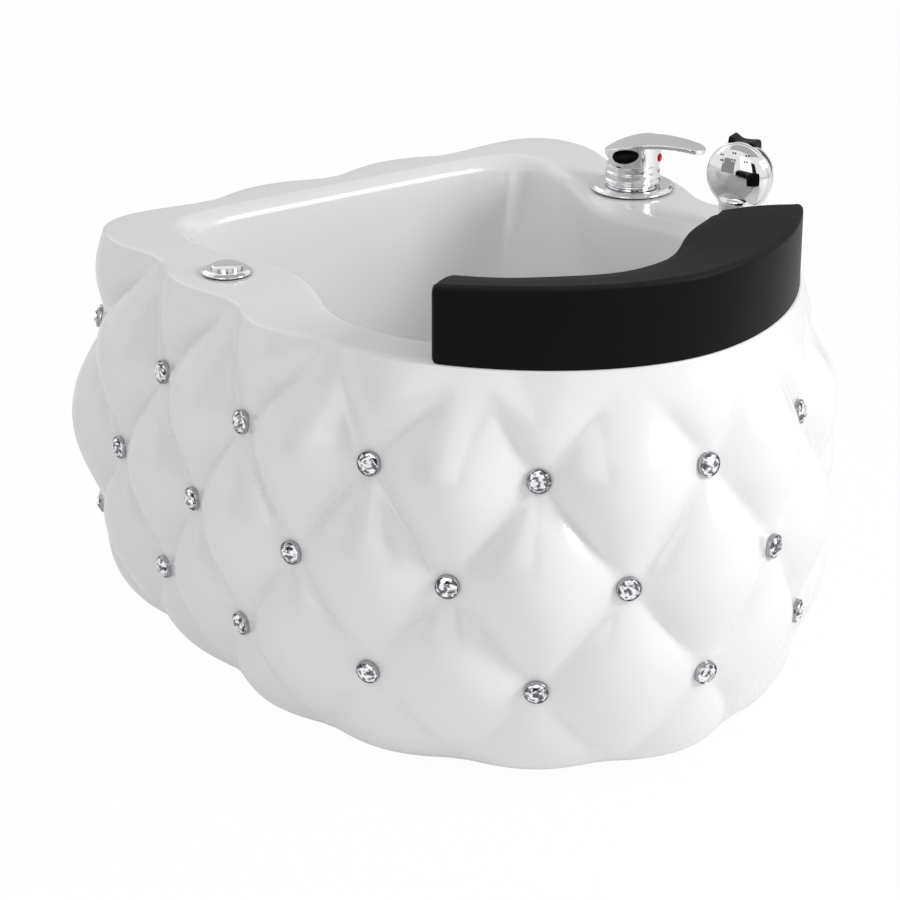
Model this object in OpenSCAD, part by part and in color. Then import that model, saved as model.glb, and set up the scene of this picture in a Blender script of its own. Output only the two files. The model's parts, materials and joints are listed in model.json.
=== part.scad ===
// Pedicure foot basin: a tufted tub with a deck, a leg rest, a mixer, a spray handset,
// an air button, a pop-up drain and a whirlpool jet.
// The origin is on the floor under the middle of the rim. The leg rest is at the front, -Y.

/* [Tub] */
// Height of the deck above the floor
tub_h = 375; // [350:5:400]
// Half of the rim's width
rim_half_w = 251; // [245:1:262]
// Distance from the origin to the rim's front
rim_front = 284; // [276:1:292]
// Distance from the origin to the rim's back
rim_rear = 281; // [276:1:292]
// Squareness of the rim's rounded front, 2 is an ellipse
front_power = 1.85; // [1.75:0.05:2]
// Squareness of the rim's back corners
rear_power = 10; // [8:1:12]
// Radius of the rim's rolled edge
rim_roll = 3; // [2:0.5:4]
// Wall of the outer shell
shell_wall = 6; // [5:0.5:7]
// Width of the ledge that carries the deck, from the outline
ledge_w = 14; // [13:0.5:15]
// Width of the foot that the shell stands on
foot_w = 20; // [14:1:26]
// Thickness of the base panel
base_t = 10; // [8:1:14]

/* [Tufts] */
// Columns of tufts round the shell, an odd number
tuft_columns = 13; // [11:2:15]
// Distance between columns along the rim
tuft_pitch = 132.6; // [120:0.1:140]
// Height of the middle row of crystals
row_mid = 198; // [190:1:205]
// Distance between rows of crystals
row_gap = 90.5; // [85:0.5:95]
// Roundness of a tuft, lower is fuller
tuft_power = 0.55; // [0.45:0.05:0.8]
// How far the tufts stand proud of the grooves, as a share of the usual
tuft_depth = 1; // [0.6:0.05:1.1]

/* [Crystals] */
// Diameter of a crystal
crystal_d = 18.4; // [16:0.2:20]
// Wall of a crystal's cup
cup_wall = 1.1; // [0.8:0.1:1.6]
// Diameter of a cup's pin
cup_pin_d = 4; // [3:0.5:5]
// Length of a cup's pin behind the cup
cup_pin_len = 13; // [10:1:16]

/* [Basin] */
// Thickness of the deck and the basin wall
deck_t = 6; // [5:0.5:7]
// Depth of the basin below the deck
basin_depth = 270; // [250:5:285]
// Width of the deck at each side, from the rim to the mouth
deck_side_w = 53; // [49:1:59]
// Width of the deck at the front
deck_front_w = 56; // [52:1:64]
// Width of the deck at the back
deck_rear_w = 41; // [37:1:47]
// Radius of the mouth's rounded edge
mouth_r = 12; // [10:1:14]
// Radius between the wall and the floor of the basin
floor_r = 55; // [40:1:65]
// Lean of the side and front walls, in degrees
side_draft = 15; // [12:1:16]
// Lean of the back wall, in degrees
rear_draft = 8; // [6:1:10]
// How far each side of the mouth comes in, to make room for the fittings
waist = 38; // [30:1:40]
// How deep below the deck the sides have come out again
waist_fade = 110; // [95:1:112]
// Where the waist is, behind the origin
waist_y = 62; // [55:1:70]
// How long the waist is
waist_len = 88; // [80:1:95]
// Where the drain is, behind the origin
drain_y = 60; // [50:1:80]

/* [Leg rest] */
// Height of the pad at its outer edge
pad_h = 68; // [60:1:76]
// Height of the pad at its inner edge
pad_inner_h = 46; // [38:1:54]
// Height of the pad's outer edge at its ends
pad_end_h = 64; // [56:1:70]
// Depth of the pad at its middle
pad_depth = 93; // [85:1:100]
// Depth of the pad at its ends
pad_end_depth = 80; // [72:1:84]
// Half of the pad's length along the rim
pad_half_len = 219; // [200:1:225]
// Radius of the pad's outer top edge
pad_edge_r = 5; // [3:1:8]
// Thickness of the pad's backing plate
pad_plate_t = 4; // [3:0.5:5]
// Diameter of the studs that hold the pad
pad_stud_d = 6; // [5:0.5:6]

/* [Mixer] */
// Distance of the mixer and of the air button from the rim's side
fitting_inset = 39; // [37:0.5:42]
// Distance of the mixer and of the air button behind the origin
fitting_y = 92; // [80:1:100]
// Diameter of the mixer's flange
tap_flange_d = 77; // [70:1:80]
// Diameter of the mixer's body and handle
tap_d = 51; // [48:1:54]
// Height of the mixer's collar above the flange
tap_collar_h = 19.5; // [18:0.5:24]
// Diameter of the mixer's threaded shank
tap_shank_d = 32; // [30:1:34]
// Length of the shank below the deck
tap_shank_len = 45; // [38:1:60]
// Length of the lever from the mixer's axis
lever_len = 72; // [64:1:80]
// Thickness of the lever
lever_t = 4; // [3:0.5:5]
// Direction of the lever in plan, in degrees from +X
lever_dir = -56.5; // [-70:0.5:-40]

/* [Spray handset] */
// Distance of the handset's holder from the rim's side
spray_inset = 35.5; // [35:0.5:37]
// Distance of the handset's holder in front of the origin
spray_y = 56; // [52:1:58]
// Diameter of the handset's head
head_d = 60; // [54:1:62]
// Height of the head's centre above the deck
head_z = 50; // [48:1:58]
// Direction that the spray face looks, in degrees from +X
spray_dir = 207; // [195:1:220]
// Travel of the trigger
trigger_travel = 3; // [2:0.5:3]

/* [Air button] */
// Diameter of the air button's flange
button_flange_d = 43; // [40:1:46]
// Diameter of the air button's cap
button_cap_d = 26.2; // [24:0.2:28]
// Height of the cap above the flange
button_rise = 3.5; // [3:0.5:5]

/* [Drain] */
// Outer diameter of the drain's threaded body
drain_d = 48; // [44:1:50]
// Diameter of the tailpipe
tail_d = 38; // [36:0.5:38.5]
// Gap between the tailpipe's end and the floor
tail_gap = 5; // [3:1:12]

/* [Jet] */
// Depth of the jet's centre below the deck
jet_depth = 150; // [140:1:160]
// Outer diameter of the jet's housing
jet_d = 40; // [36:1:44]
// Diameter of the jet's motor
motor_d = 60; // [50:1:64]
// Length of the jet's motor
motor_len = 48; // [40:1:52]

/* [Fits] */
// Clearance between parts of a fit that is screwed or pressed together
fit_gap = 0.1; // [0.05:0.01:0.2]
// Radial clearance of a shaft that turns or slides in a hole
run_gap = 0.05; // [0.02:0.01:0.08]
// Clearance between a moving piece and what it passes
free_gap = 0.35; // [0.3:0.05:0.5]

/* [Hidden] */
$fn = 48;

// ---- outline of the rim ----------------------------------------------------
function smooth(t) = let (c = min(1, max(0, t))) c * c * (3 - 2 * c);
function mix(a, b, t) = a + (b - a) * t;

// A point of a closed outline at an angle from the front: round before, square behind
nose_round = 0.006;
function outline(angle, half_w, front, rear, nf, nr) =
    let (
        s = sin(angle), c = -cos(angle),
        n = c < 0 ? nf : nr,
        b = c < 0 ? front : rear,
        r = 1 / pow(pow(sqrt(s * s + nose_round) / half_w, n) + pow(abs(c) / b, n), 1 / n)
    ) [r * s, r * c];

function rim_at(angle, inset = 0) =
    outline(angle, rim_half_w - inset, rim_front - inset, rim_rear - inset,
            front_power, rear_power);

// Length along the rim, from the middle of the front, against the angle
arc_steps = 360;
arc_table = [
    for (i = 0, len = 0; i <= arc_steps;
         len = len + norm(rim_at(180 * (i + 1) / arc_steps) - rim_at(180 * i / arc_steps)),
         i = i + 1)
        [len, 180 * i / arc_steps]
];
half_rim = arc_table[arc_steps][0];
function angle_of(s) = sign(s) * lookup(abs(s), arc_table);
function rim_point(s) = rim_at(angle_of(s));
function rim_normal(s) =
    let (e = 1.5, a = rim_point(max(s - e, -half_rim)), b = rim_point(min(s + e, half_rim)),
         t = (b - a) / norm(b - a)) [t[1], -t[0]];
// A point off the rim: outwards square to it, or inwards on a smaller outline
function rim_offset(s, out) =
    out > 0 ? rim_point(s) + out * rim_normal(s) : rim_at(angle_of(s), -out);

// ---- tufts -----------------------------------------------------------------
// Columns are evenly spaced, and the tufts at the back corners take up what is left
last_column = tuft_columns / 2;
corner_column = last_column - 1.375;
corner_stretch = half_rim - tuft_pitch * last_column;
function arc_of(u) =
    tuft_pitch * u + sign(u) * corner_stretch * smooth((abs(u) - corner_column + 0.375) / 0.75);
row_top = row_mid + row_gap;
row_low = row_mid - row_gap;

// Outward offsets of the grooves and of the tufts' crowns, against the share of the height
groove_profile = [[0, -77], [0.012, -56], [0.035, -34], [0.072, -14], [0.17, 7],
                  [0.285, 17], [0.528, 22], [0.77, 11], [0.9, 1], [1, -7]];
crown_profile = [[0, -77], [0.012, -50], [0.035, -26], [0.072, -5], [0.17, 17],
                 [0.285, 31], [0.4, 39], [0.528, 42], [0.66, 40], [0.77, 35],
                 [0.88, 24], [1, 6]];
function groove_out(z) = lookup(z / tub_h, groove_profile);
function crown_out(z) = groove_out(z)
    + tuft_depth * (lookup(z / tub_h, crown_profile) - groove_out(z));

// The grooves lean forwards a little between the top row and the rim
groove_lean = 0.17;
function leaned(u, z) = u + sign(u) * groove_lean
    * smooth((z - row_top) / (tub_h - row_top))
    * smooth(abs(u) / 2.5) * (1 - smooth((abs(u) - corner_column + 0.6) / 1.2));
function tuft(u, z) =
    let (v = (z - row_mid) / (2 * row_gap), w = leaned(u, z))
        pow(abs(sin(180 * (w + v + 0.5)) * sin(180 * (w - v + 0.5))), tuft_power);

// The tufts fade out towards the rim at the front, under the leg rest
plain_front = 1.2;
function tufted(u, z) = 1 - (1 - smooth((abs(u) - plain_front) / 2))
    * smooth((z - row_top) / (tub_h - rim_roll - row_top));
function skin_out(u, z) =
    mix(groove_out(z), crown_out(z), mix(0.55, tuft(u, z), tufted(u, z)));

// ---- lofts -----------------------------------------------------------------
// A ring-shaped solid through rings of points, the last ring joined to the first.
// A square of the mesh is cut along a groove that crosses it, and elsewhere over its crown.
function along_groove(rows, i, j, n) =
    i + 1 < len(rows)
    && (let (one = tuft(columns[j], rows[i]) + tuft(columns[(j + 1) % n], rows[i + 1]),
             other = tuft(columns[(j + 1) % n], rows[i]) + tuft(columns[j], rows[i + 1]))
        rows[i] > row_top ? one > other : other < 0.1 || (one >= 0.1 && other > one));
module ring_loft(rings, rows = []) {
    m = len(rings);
    n = len(rings[0]);
    polyhedron(
        points = [for (r = rings) each r],
        faces = [
            for (i = [0:m - 1], j = [0:n - 1])
                let (a = i * n + j, b = i * n + (j + 1) % n,
                     c = ((i + 1) % m) * n + (j + 1) % n, d = ((i + 1) % m) * n + j)
                each along_groove(rows, i, j, n) ? [[a, b, d], [b, c, d]] : [[a, b, c], [a, c, d]]
        ],
        convexity = 10);
}

// A solid through a row of sections, closed by a flat face at each end
module bar_loft(sections) {
    m = len(sections);
    n = len(sections[0]);
    polyhedron(
        points = [for (r = sections) each r],
        faces = concat(
            [for (i = [0:m - 2], j = [0:n - 1])
                let (a = i * n + j, b = i * n + (j + 1) % n,
                     c = (i + 1) * n + (j + 1) % n, d = (i + 1) * n + j)
                each [[a, c, b], [a, d, c]]],
            [[for (j = [0:n - 1]) j]],
            [[for (j = [n - 1:-1:0]) (m - 1) * n + j]]),
        convexity = 10);
}

function level(points, z) = [for (p = points) [p[0], p[1], z]];

// ---- shell -----------------------------------------------------------------
steps_per_column = 8;
around = tuft_columns * steps_per_column;
columns = [for (i = [0:around - 1]) -last_column + i / steps_per_column];
function rim_ring(out) = [for (u = columns) rim_offset(arc_of(u), out)];
deck_inset = rim_roll + 9;
function skin_ring(z) =
    level([for (u = columns) rim_offset(arc_of(u), skin_out(u, z))], z);
// The rolled edge turns from the tufted skin to the flat joint with the deck
function roll_ring(turn) =
    level([for (u = columns)
        rim_offset(arc_of(u), skin_out(u, tub_h - rim_roll) - rim_roll * (1 - cos(turn)))],
        tub_h - rim_roll + rim_roll * sin(turn));
foot_out = groove_profile[0][1];
// Levels of the skin: its grooves run through the mesh's corners
row_step = 2 * row_gap / steps_per_column;
skin_rows = [0, 4.5, each [for (z = [row_mid - 8 * row_step:row_step:tub_h - 12]) z],
             tub_h - rim_roll];
inner_rows = 6;
inner_low = 50;

module outer_shell() {
    color("white") ring_loft([
        for (z = skin_rows) skin_ring(z),
        roll_ring(45), roll_ring(90),
        level(rim_ring(-deck_inset), tub_h),
        level(rim_ring(-deck_inset), tub_h - deck_t),
        level(rim_ring(-ledge_w), tub_h - deck_t),
        level(rim_ring(-ledge_w), tub_h - 2 * deck_t),
        for (i = [0:inner_rows])
            let (z = mix(tub_h - 2 * deck_t - 2, inner_low, i / inner_rows))
            level(rim_ring(min(groove_out(z) - shell_wall, groove_out(z + 20) - shell_wall)), z),
        level(rim_ring(foot_out + 48), 28),
        level(rim_ring(foot_out + 14), 12),
        level(rim_ring(foot_out - foot_w), base_t),
        level(rim_ring(foot_out - foot_w), 0)
    ], skin_rows);
}

hose_hole_r = 30;
base_hole_r = 36;
base_hose_y = 150;
module base_panel() {
    color("burlywood") linear_extrude(base_t) difference() {
        polygon(rim_ring(foot_out - foot_w));
        translate([0, drain_y]) circle(base_hole_r);
        translate([0, base_hose_y]) circle(hose_hole_r);
    }
}

// ---- basin -----------------------------------------------------------------
mouth_half_w = rim_half_w - deck_side_w;
mouth_front = rim_front - deck_front_w;
mouth_rear = rim_rear - deck_rear_w;
// A point of the basin's wall: inset from the mouth's edge, and depth below the deck
function bowl_at(angle, inset, depth) =
    let (p = outline(angle,
                     mouth_half_w - inset - depth * tan(side_draft),
                     mouth_front - inset - depth * tan(side_draft),
                     mouth_rear - inset - depth * tan(rear_draft),
                     front_power, 8),
         w = waist * (1 - smooth(depth / waist_fade))
             * exp(-pow((p[1] - waist_y) / waist_len, 2)))
    [p[0] - sign(p[0]) * min(w, abs(p[0])), p[1]];
bowl_angles = [for (u = columns) angle_of(arc_of(u))];
function bowl_ring(inset, depth) =
    level([for (a = bowl_angles) bowl_at(a, inset, depth)], tub_h - depth);
function round_ring(r, depth) =
    level([for (a = bowl_angles) [r * sin(a), drain_y - r * cos(a)]], tub_h - depth);
floor_fall = 3;
drain_seat_r = 38;
drain_z = tub_h - basin_depth - floor_fall;

module bowl_rings() {
    under_r = mouth_r - deck_t;
    ring_loft([
        level(rim_ring(-deck_inset), tub_h),
        for (a = [0:20:80]) bowl_ring(-mouth_r + mouth_r * sin(a), mouth_r - mouth_r * cos(a)),
        bowl_ring(0, waist_fade / 2),
        bowl_ring(0, waist_fade),
        for (a = [0:22.5:90])
            bowl_ring(floor_r * (1 - cos(a)), basin_depth - floor_r + floor_r * sin(a)),
        round_ring(drain_seat_r, basin_depth + floor_fall),
        round_ring(drain_d / 2 - 4, basin_depth + floor_fall),
        round_ring(drain_d / 2 - 4, basin_depth + floor_fall + deck_t),
        round_ring(drain_seat_r, basin_depth + floor_fall + deck_t),
        for (a = [90:-30:0])
            bowl_ring(-deck_t + (floor_r + deck_t) * (1 - cos(a)),
                      basin_depth - floor_r + (floor_r + deck_t) * sin(a)),
        bowl_ring(-deck_t, waist_fade),
        bowl_ring(-deck_t, waist_fade / 2),
        for (a = [80:-40:0]) bowl_ring(-mouth_r + under_r * sin(a), mouth_r - under_r * cos(a)),
        level(rim_ring(-deck_inset), tub_h - deck_t)
    ]);
}

// ---- places of the fittings ------------------------------------------------
fitting_x = rim_half_w - fitting_inset;
spray_x = rim_half_w - spray_inset;
module at_tap() { translate([fitting_x, fitting_y, tub_h]) rotate(lever_dir) children(); }
module at_spray() { translate([spray_x, -spray_y, tub_h]) rotate(spray_dir) children(); }
module at_button() { translate([-fitting_x, fitting_y, tub_h]) children(); }
module at_drain() { translate([0, drain_y, drain_z]) children(); }
jet_angle = -104;
jet_at = bowl_at(jet_angle, 0, jet_depth);
jet_along = bowl_at(jet_angle + 2, 0, jet_depth) - bowl_at(jet_angle - 2, 0, jet_depth);
jet_turn = atan2(jet_along[0], -jet_along[1]);
module at_jet() {
    translate([jet_at[0], jet_at[1], tub_h - jet_depth])
        rotate([0, 0, jet_turn]) rotate([0, 90 - side_draft, 0]) children();
}

// ---- common shapes ---------------------------------------------------------
module tube(r_out, r_in, low, high) {
    translate([0, 0, low]) linear_extrude(high - low) difference() {
        circle(r_out);
        circle(r_in);
    }
}
module rod(r, low, high) { translate([0, 0, low]) cylinder(r = r, h = high - low); }
module hex_nut(r_out, r_in, low, high) {
    translate([0, 0, low]) linear_extrude(high - low) difference() {
        circle(r_out, $fn = 6);
        circle(r_in);
    }
}

spray_r = 10.5;
button_r = button_cap_d / 2 + 2.4;
pad_stud_inset = 28;
pad_stud_arcs = [-150, 0, 150];
module at_pad_studs() {
    for (s = pad_stud_arcs) {
        p = rim_offset(s, -pad_stud_inset);
        translate([p[0], p[1], tub_h]) children();
    }
}

module basin_liner() {
    color("white") difference() {
        bowl_rings();
        at_tap() rod(tap_shank_d / 2 + fit_gap, -deck_t - 1, 1);
        at_spray() rod(spray_r + fit_gap, -deck_t - 1, 1);
        at_button() rod(button_r + fit_gap, -deck_t - 1, 1);
        at_drain() rod(drain_d / 2 + fit_gap, -deck_t - 1, 1);
        at_jet() rod(jet_d / 2 + fit_gap, -deck_t - 8, 8);
        at_pad_studs() rod(pad_stud_d / 2 + fit_gap, -deck_t - 1, 1);
    }
}

block_w = 26;
block_x = 52;
block_len = 150;
module basin_blocks() {
    top = tub_h - basin_depth - deck_t - floor_fall - 0.5;
    color("tan") for (side = [-1, 1])
        translate([side * block_x - block_w / 2, -block_len, base_t])
            cube([block_w, block_len + 10, top - base_t]);
}

// ---- crystals --------------------------------------------------------------
module at_seat(u, z, lean) {
    s = arc_of(u);
    p = rim_offset(s, groove_out(z) + seat_rise);
    n = rim_normal(s);
    translate([p[0], p[1], z]) rotate([0, 90 - lean, atan2(n[1], n[0])]) children();
}
seat_rise = 2.5;
row_lean = 8;
module at_seats() {
    for (i = [0:tuft_columns - 1]) {
        at_seat(i - last_column + 0.5, row_top, row_lean) children();
        at_seat(i - last_column + 0.5, row_low, -row_lean) children();
        at_seat(i - last_column + 1, row_mid, 0) children();
    }
}
crystal_r = crystal_d / 2;
girdle_h = 1.4;
crown_h = 3.4;
table_r = crystal_r * 0.56;
module crystals() {
    color("lightcyan") at_seats() {
        cylinder(r = crystal_r, h = girdle_h, $fn = 8);
        translate([0, 0, girdle_h]) cylinder(r1 = crystal_r, r2 = table_r, h = crown_h, $fn = 8);
    }
}
module crystal_cups() {
    color("silver") at_seats() {
        rod(crystal_r + cup_wall, -3, 0);
        tube(crystal_r + cup_wall, crystal_r, 0, girdle_h * 0.8);
        rod(cup_pin_d / 2, -3 - cup_pin_len, -3);
    }
}

// ---- leg rest --------------------------------------------------------------
pad_stations = 28;
pad_end_r = 6;
plate_in = 12;
plate_out = 42;
plate_margin = 16;
function pad_depth_at(s) = mix(pad_depth, pad_end_depth, pow(abs(s) / pad_half_len, 2));
// Corner points of the pad's section as [inset from the rim, height above the deck]
function pad_section(s, shrink) =
    let (d = pad_depth_at(s) - shrink, o = 0.5 + shrink,
         h = mix(pad_h, pad_end_h, pow(abs(s) / pad_half_len, 4)) - shrink,
         hi = pad_inner_h - shrink, e = pad_edge_r, f = 13, slope = atan((h - hi) / d))
    concat(
        [[o, shrink]],
        [for (a = [0:30:90]) [o + e - e * cos(a), h - e + e * sin(a)]],
        [[mix(o, d, 0.35), mix(h, hi, 0.33) + 2.5], [mix(o, d, 0.65), mix(h, hi, 0.63) + 2.5]],
        [for (a = [90 - slope:-30:0]) [d - f + f * cos(a), hi - f + f * sin(a)]],
        [[d, shrink + 3], [d - 3, shrink]],
        [[plate_out, shrink], [plate_out, pad_plate_t], [plate_in, pad_plate_t],
         [plate_in, shrink]]);
function placed_section(s, section) =
    [for (q = section) let (p = rim_offset(s, -q[0])) [p[0], p[1], tub_h + q[1]]];
pad_inner_len = pad_half_len - pad_end_r;
module footrest_pad() {
    color("black") bar_loft([
        placed_section(-pad_half_len, pad_section(-pad_half_len, 3)),
        placed_section(-pad_half_len + 2, pad_section(-pad_half_len, 1)),
        for (i = [0:pad_stations])
            let (s = mix(-pad_inner_len, pad_inner_len, i / pad_stations))
            placed_section(s, pad_section(s, 0)),
        placed_section(pad_half_len - 2, pad_section(pad_half_len, 1)),
        placed_section(pad_half_len, pad_section(pad_half_len, 3))
    ]);
}
module pad_plate() {
    section = [[plate_in, 0], [plate_in, pad_plate_t], [plate_out, pad_plate_t], [plate_out, 0]];
    color("dimgray") bar_loft([
        for (i = [0:pad_stations])
            let (s = mix(-pad_inner_len, pad_inner_len, i / pad_stations))
            if (abs(s) < pad_half_len - plate_margin) placed_section(s, section)
    ]);
}
module pad_studs() { color("silver") at_pad_studs() rod(pad_stud_d / 2, -22, 0); }
module pad_nuts() {
    color("silver") at_pad_studs() hex_nut(5.2, pad_stud_d / 2 + fit_gap, -deck_t - 5, -deck_t);
}

// ---- mixer -----------------------------------------------------------------
tap_r = tap_d / 2;
shank_r = tap_shank_d / 2;
gasket_t = 1.5;
flange_top = gasket_t + 3.5;
collar_top = flange_top + tap_collar_h;
port_r = 4.5;
port_ring_r = 8.4;
port_len = 16;
tail_r = 6;
tail_in = 6;
cavity_floor = flange_top + 3;
cartridge_r = tap_r - 7.6;
bonnet_t = 5.2;
neck_r = 9;
spindle_r = 3.6;
pivot_z = collar_top + 10;
pivot_r = 1.5;
drum_low = collar_top + 0.6;
fork_gap = 3.2;

module tap_gasket() {
    color("dimgray") at_tap() tube(tap_flange_d / 2 - 2, shank_r + fit_gap, 0, gasket_t);
}
module tap_flange() {
    color("silver") at_tap() {
        tube(tap_flange_d / 2, shank_r + fit_gap, gasket_t, gasket_t + 2);
        tube(tap_flange_d / 2 - 2.5, shank_r + fit_gap, gasket_t + 2, flange_top);
    }
}
module tap_body() {
    color("silver") at_tap() difference() {
        union() {
            rotate_extrude() polygon([
                [0, flange_top], [tap_r - 3.2, flange_top], [tap_r - 3.2, flange_top + 2.5],
                [tap_r - 0.3, flange_top + 2.5], [tap_r + 0.5, flange_top + 3.7],
                [tap_r + 0.5, flange_top + 5.8], [tap_r - 0.3, flange_top + 7],
                [tap_r - 0.5, flange_top + 7], [tap_r - 0.5, flange_top + 13.5],
                [tap_r - 1.7, flange_top + 13.5], [tap_r - 1.7, collar_top], [0, collar_top]]);
            rod(shank_r, -tap_shank_len, flange_top);
        }
        rod(cartridge_r + fit_gap, cavity_floor, collar_top + 1);
        at_ports() rod(tail_r + fit_gap, -tap_shank_len - 1, -tap_shank_len + tail_in);
    }
}
module at_ports() { for (a = [0, 120, 240]) rotate(a) translate([port_ring_r, 0, 0]) children(); }
module tap_tails() {
    color("goldenrod") at_tap() at_ports() difference() {
        rod(tail_r, -tap_shank_len - port_len, -tap_shank_len + tail_in);
        rod(port_r, -tap_shank_len - port_len - 1, -tap_shank_len);
    }
}
module tap_shank_washer() {
    color("gray") at_tap() tube(shank_r + 4, shank_r + fit_gap, -deck_t - 2, -deck_t);
}
module tap_shank_nut() {
    color("goldenrod") at_tap() hex_nut(shank_r + 5, shank_r + fit_gap, -deck_t - 12, -deck_t - 2);
}
module tap_cartridge() {
    color("ivory") at_tap() difference() {
        union() {
            rod(cartridge_r, cavity_floor, collar_top - bonnet_t);
            rod(neck_r, collar_top - bonnet_t, collar_top + 1.5);
        }
        rod(spindle_r + run_gap, cavity_floor + 5, collar_top + 2);
    }
}
module tap_bonnet_nut() {
    color("goldenrod") at_tap()
        tube(cartridge_r, neck_r + fit_gap, collar_top - bonnet_t, collar_top - 0.2);
}
module tap_spindle() {
    color("silver") at_tap() {
        rod(spindle_r, cavity_floor + 5.5, collar_top + 2);
        rod(neck_r - 1, collar_top + 2, collar_top + 4.5);
        difference() {
            for (side = [-1, 1]) translate([-4, side > 0 ? fork_gap : -fork_gap - 3, collar_top + 4.5])
                cube([8, 3, pivot_z - collar_top - 1.5]);
            translate([0, 0, pivot_z]) rotate([90, 0, 0]) cylinder(r = pivot_r, h = 20, center = true);
        }
    }
}
module tap_pivot_pin() {
    color("gray") at_tap() translate([0, 0, pivot_z]) rotate([90, 0, 0])
        cylinder(r = pivot_r, h = 2 * fork_gap + 6, center = true);
}

// The lever's top is an arch: these are its axis and radius in the handle's own plane
arch_x = 32.8;
arch_z = -98.2;
arch_r = 146.8;
module arch(r) {
    translate([arch_x, 0, arch_z]) rotate([90, 0, 0])
        cylinder(r = r, h = 2 * tap_d, center = true, $fn = 144);
}
tip_half_w = 12;
root_half_w = 23.5;
scoop_x = 1;
scoop_z = pivot_z + 3;
scoop_w = 15;
scoop_h = 7;
scoop_tilt = 16;
index_z = pivot_z - 2.5;
screw_r = 2.5;
module tap_handle() {
    inner_r = tap_r - 4;
    relief = 19;
    color("silver") at_tap() difference() {
        intersection() {
            translate([0, 0, drum_low]) linear_extrude(60) {
                circle(tap_r);
                polygon([[0, -root_half_w], [lever_len - tip_half_w, -tip_half_w],
                         [lever_len - tip_half_w, tip_half_w], [0, root_half_w]]);
                translate([lever_len - tip_half_w, 0]) circle(tip_half_w);
            }
            arch(arch_r);
        }
        // free space under the lever, outside the drum
        intersection() {
            arch(arch_r - lever_t);
            difference() {
                translate([0, -tap_d, drum_low - 1]) cube([3 * tap_d, 2 * tap_d, 80]);
                rod(tap_r, drum_low - 2, 90);
            }
        }
        // hollow drum, open below, with a tab left for the pivot pin
        difference() {
            intersection() {
                rod(inner_r, drum_low - 1, 90);
                arch(arch_r - 4);
            }
            translate([-4, -fork_gap + free_gap, pivot_z - 3.5])
                cube([8, 2 * (fork_gap - free_gap), 60]);
        }
        translate([0, 0, pivot_z]) rotate([90, 0, 0])
            cylinder(r = pivot_r + run_gap, h = 20, center = true);
        // relief that lets the back of the drum swing down
        translate([0, 0, drum_low]) rotate([0, relief, 0])
            translate([-2 * tap_d, -tap_d, -tap_d]) cube([2 * tap_d, 2 * tap_d, tap_d]);
        // scoops in the sides of the drum, under the lever's root
        intersection() {
            arch(arch_r - lever_t - 1);
            for (side = [-1, 1]) translate([scoop_x, side * tap_r, scoop_z])
                rotate([90, -scoop_tilt, 0]) scale([scoop_w, scoop_h, 1])
                    cylinder(r = 1, h = tap_r * 0.7, center = true);
        }
        // hole for the handle screw and the index plug
        translate([inner_r - 3, 0, index_z]) rotate([0, 90, 0]) cylinder(r = screw_r, h = 6);
        translate([tap_r - 2.2, 0, index_z]) rotate([0, 90, 0]) cylinder(r = 4, h = 4);
    }
}
module tap_handle_screw() {
    color("gray") at_tap() translate([tap_r - 6.4, 0, index_z]) rotate([0, 90, 0])
        cylinder(r = screw_r - fit_gap, h = 4.1);
}
module tap_index_plug() {
    color("red") at_tap() translate([tap_r - 2.2, 0, index_z]) rotate([0, 90, 0])
        cylinder(r = 4 - fit_gap, h = 2.8);
}

// ---- spray handset and its holder ------------------------------------------
holder_top = 14;
holder_bore = spray_r - 1.6;
bush_bore = holder_bore - 1.4;
bush_lip = 1.5;
hose_nut_r = bush_bore - free_gap;
hose_port_r = hose_nut_r - 2.6;
hose_bore_r = 2.5;
hose_nut_low = -46;
hose_port_len = 14;
neck_low = holder_top + bush_lip + 0.1;
head_r = head_d / 2;
head_back = 30;
face_r = head_r - 1;
face_at = 3;
face_out = 16;
face_wall = 2.5;
trigger_w = 26;
trigger_d = 15;
trigger_low = 19;
trigger_high = 36;
valve_r = 4;
chamber_r = face_r - 3;

module spray_holder() {
    color("silver") at_spray() difference() {
        union() {
            rotate_extrude() polygon([
                [0, gasket_t], [18.5, gasket_t], [18.5, gasket_t + 2.5], [17, gasket_t + 4.5],
                [16, gasket_t + 5], [14.5, holder_top], [0, holder_top]]);
            rod(spray_r, -30, gasket_t);
        }
        rod(holder_bore, -31, holder_top + 1);
    }
}
module spray_gasket() { color("dimgray") at_spray() tube(17.5, spray_r + fit_gap, 0, gasket_t); }
module spray_holder_nut() {
    color("goldenrod") at_spray()
        hex_nut(spray_r + 3.4, spray_r + fit_gap, -deck_t - 9, -deck_t);
}
module spray_holder_bush() {
    color("black") at_spray() {
        tube(holder_bore - fit_gap, bush_bore, -28, holder_top);
        tube(14, bush_bore, holder_top, holder_top + bush_lip);
    }
}
module handset_hose_nut() {
    color("silver") at_spray() difference() {
        rod(hose_nut_r, hose_nut_low, neck_low);
        rod(hose_port_r, hose_nut_low - 1, hose_nut_low + hose_port_len);
        rod(hose_bore_r, hose_nut_low, neck_low + 1);
    }
}
module at_head() { at_spray() translate([0, 0, head_z]) children(); }
// The head is turned about the spray direction, which is its own +X
module along_spray() { rotate([0, 90, 0]) children(); }
head_profile = [for (a = [0:12:90]) [head_r * sin(a), -head_back * cos(a)]];
neck_r_low = 16;
neck_r_high = 17.5;
neck_high = head_z - 24;
neck_profile = [for (i = [0:8]) let (t = i / 8)
    [mix(neck_r_low, neck_r_high, pow(t, 1.6)), mix(neck_low, neck_high, t)]];
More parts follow.
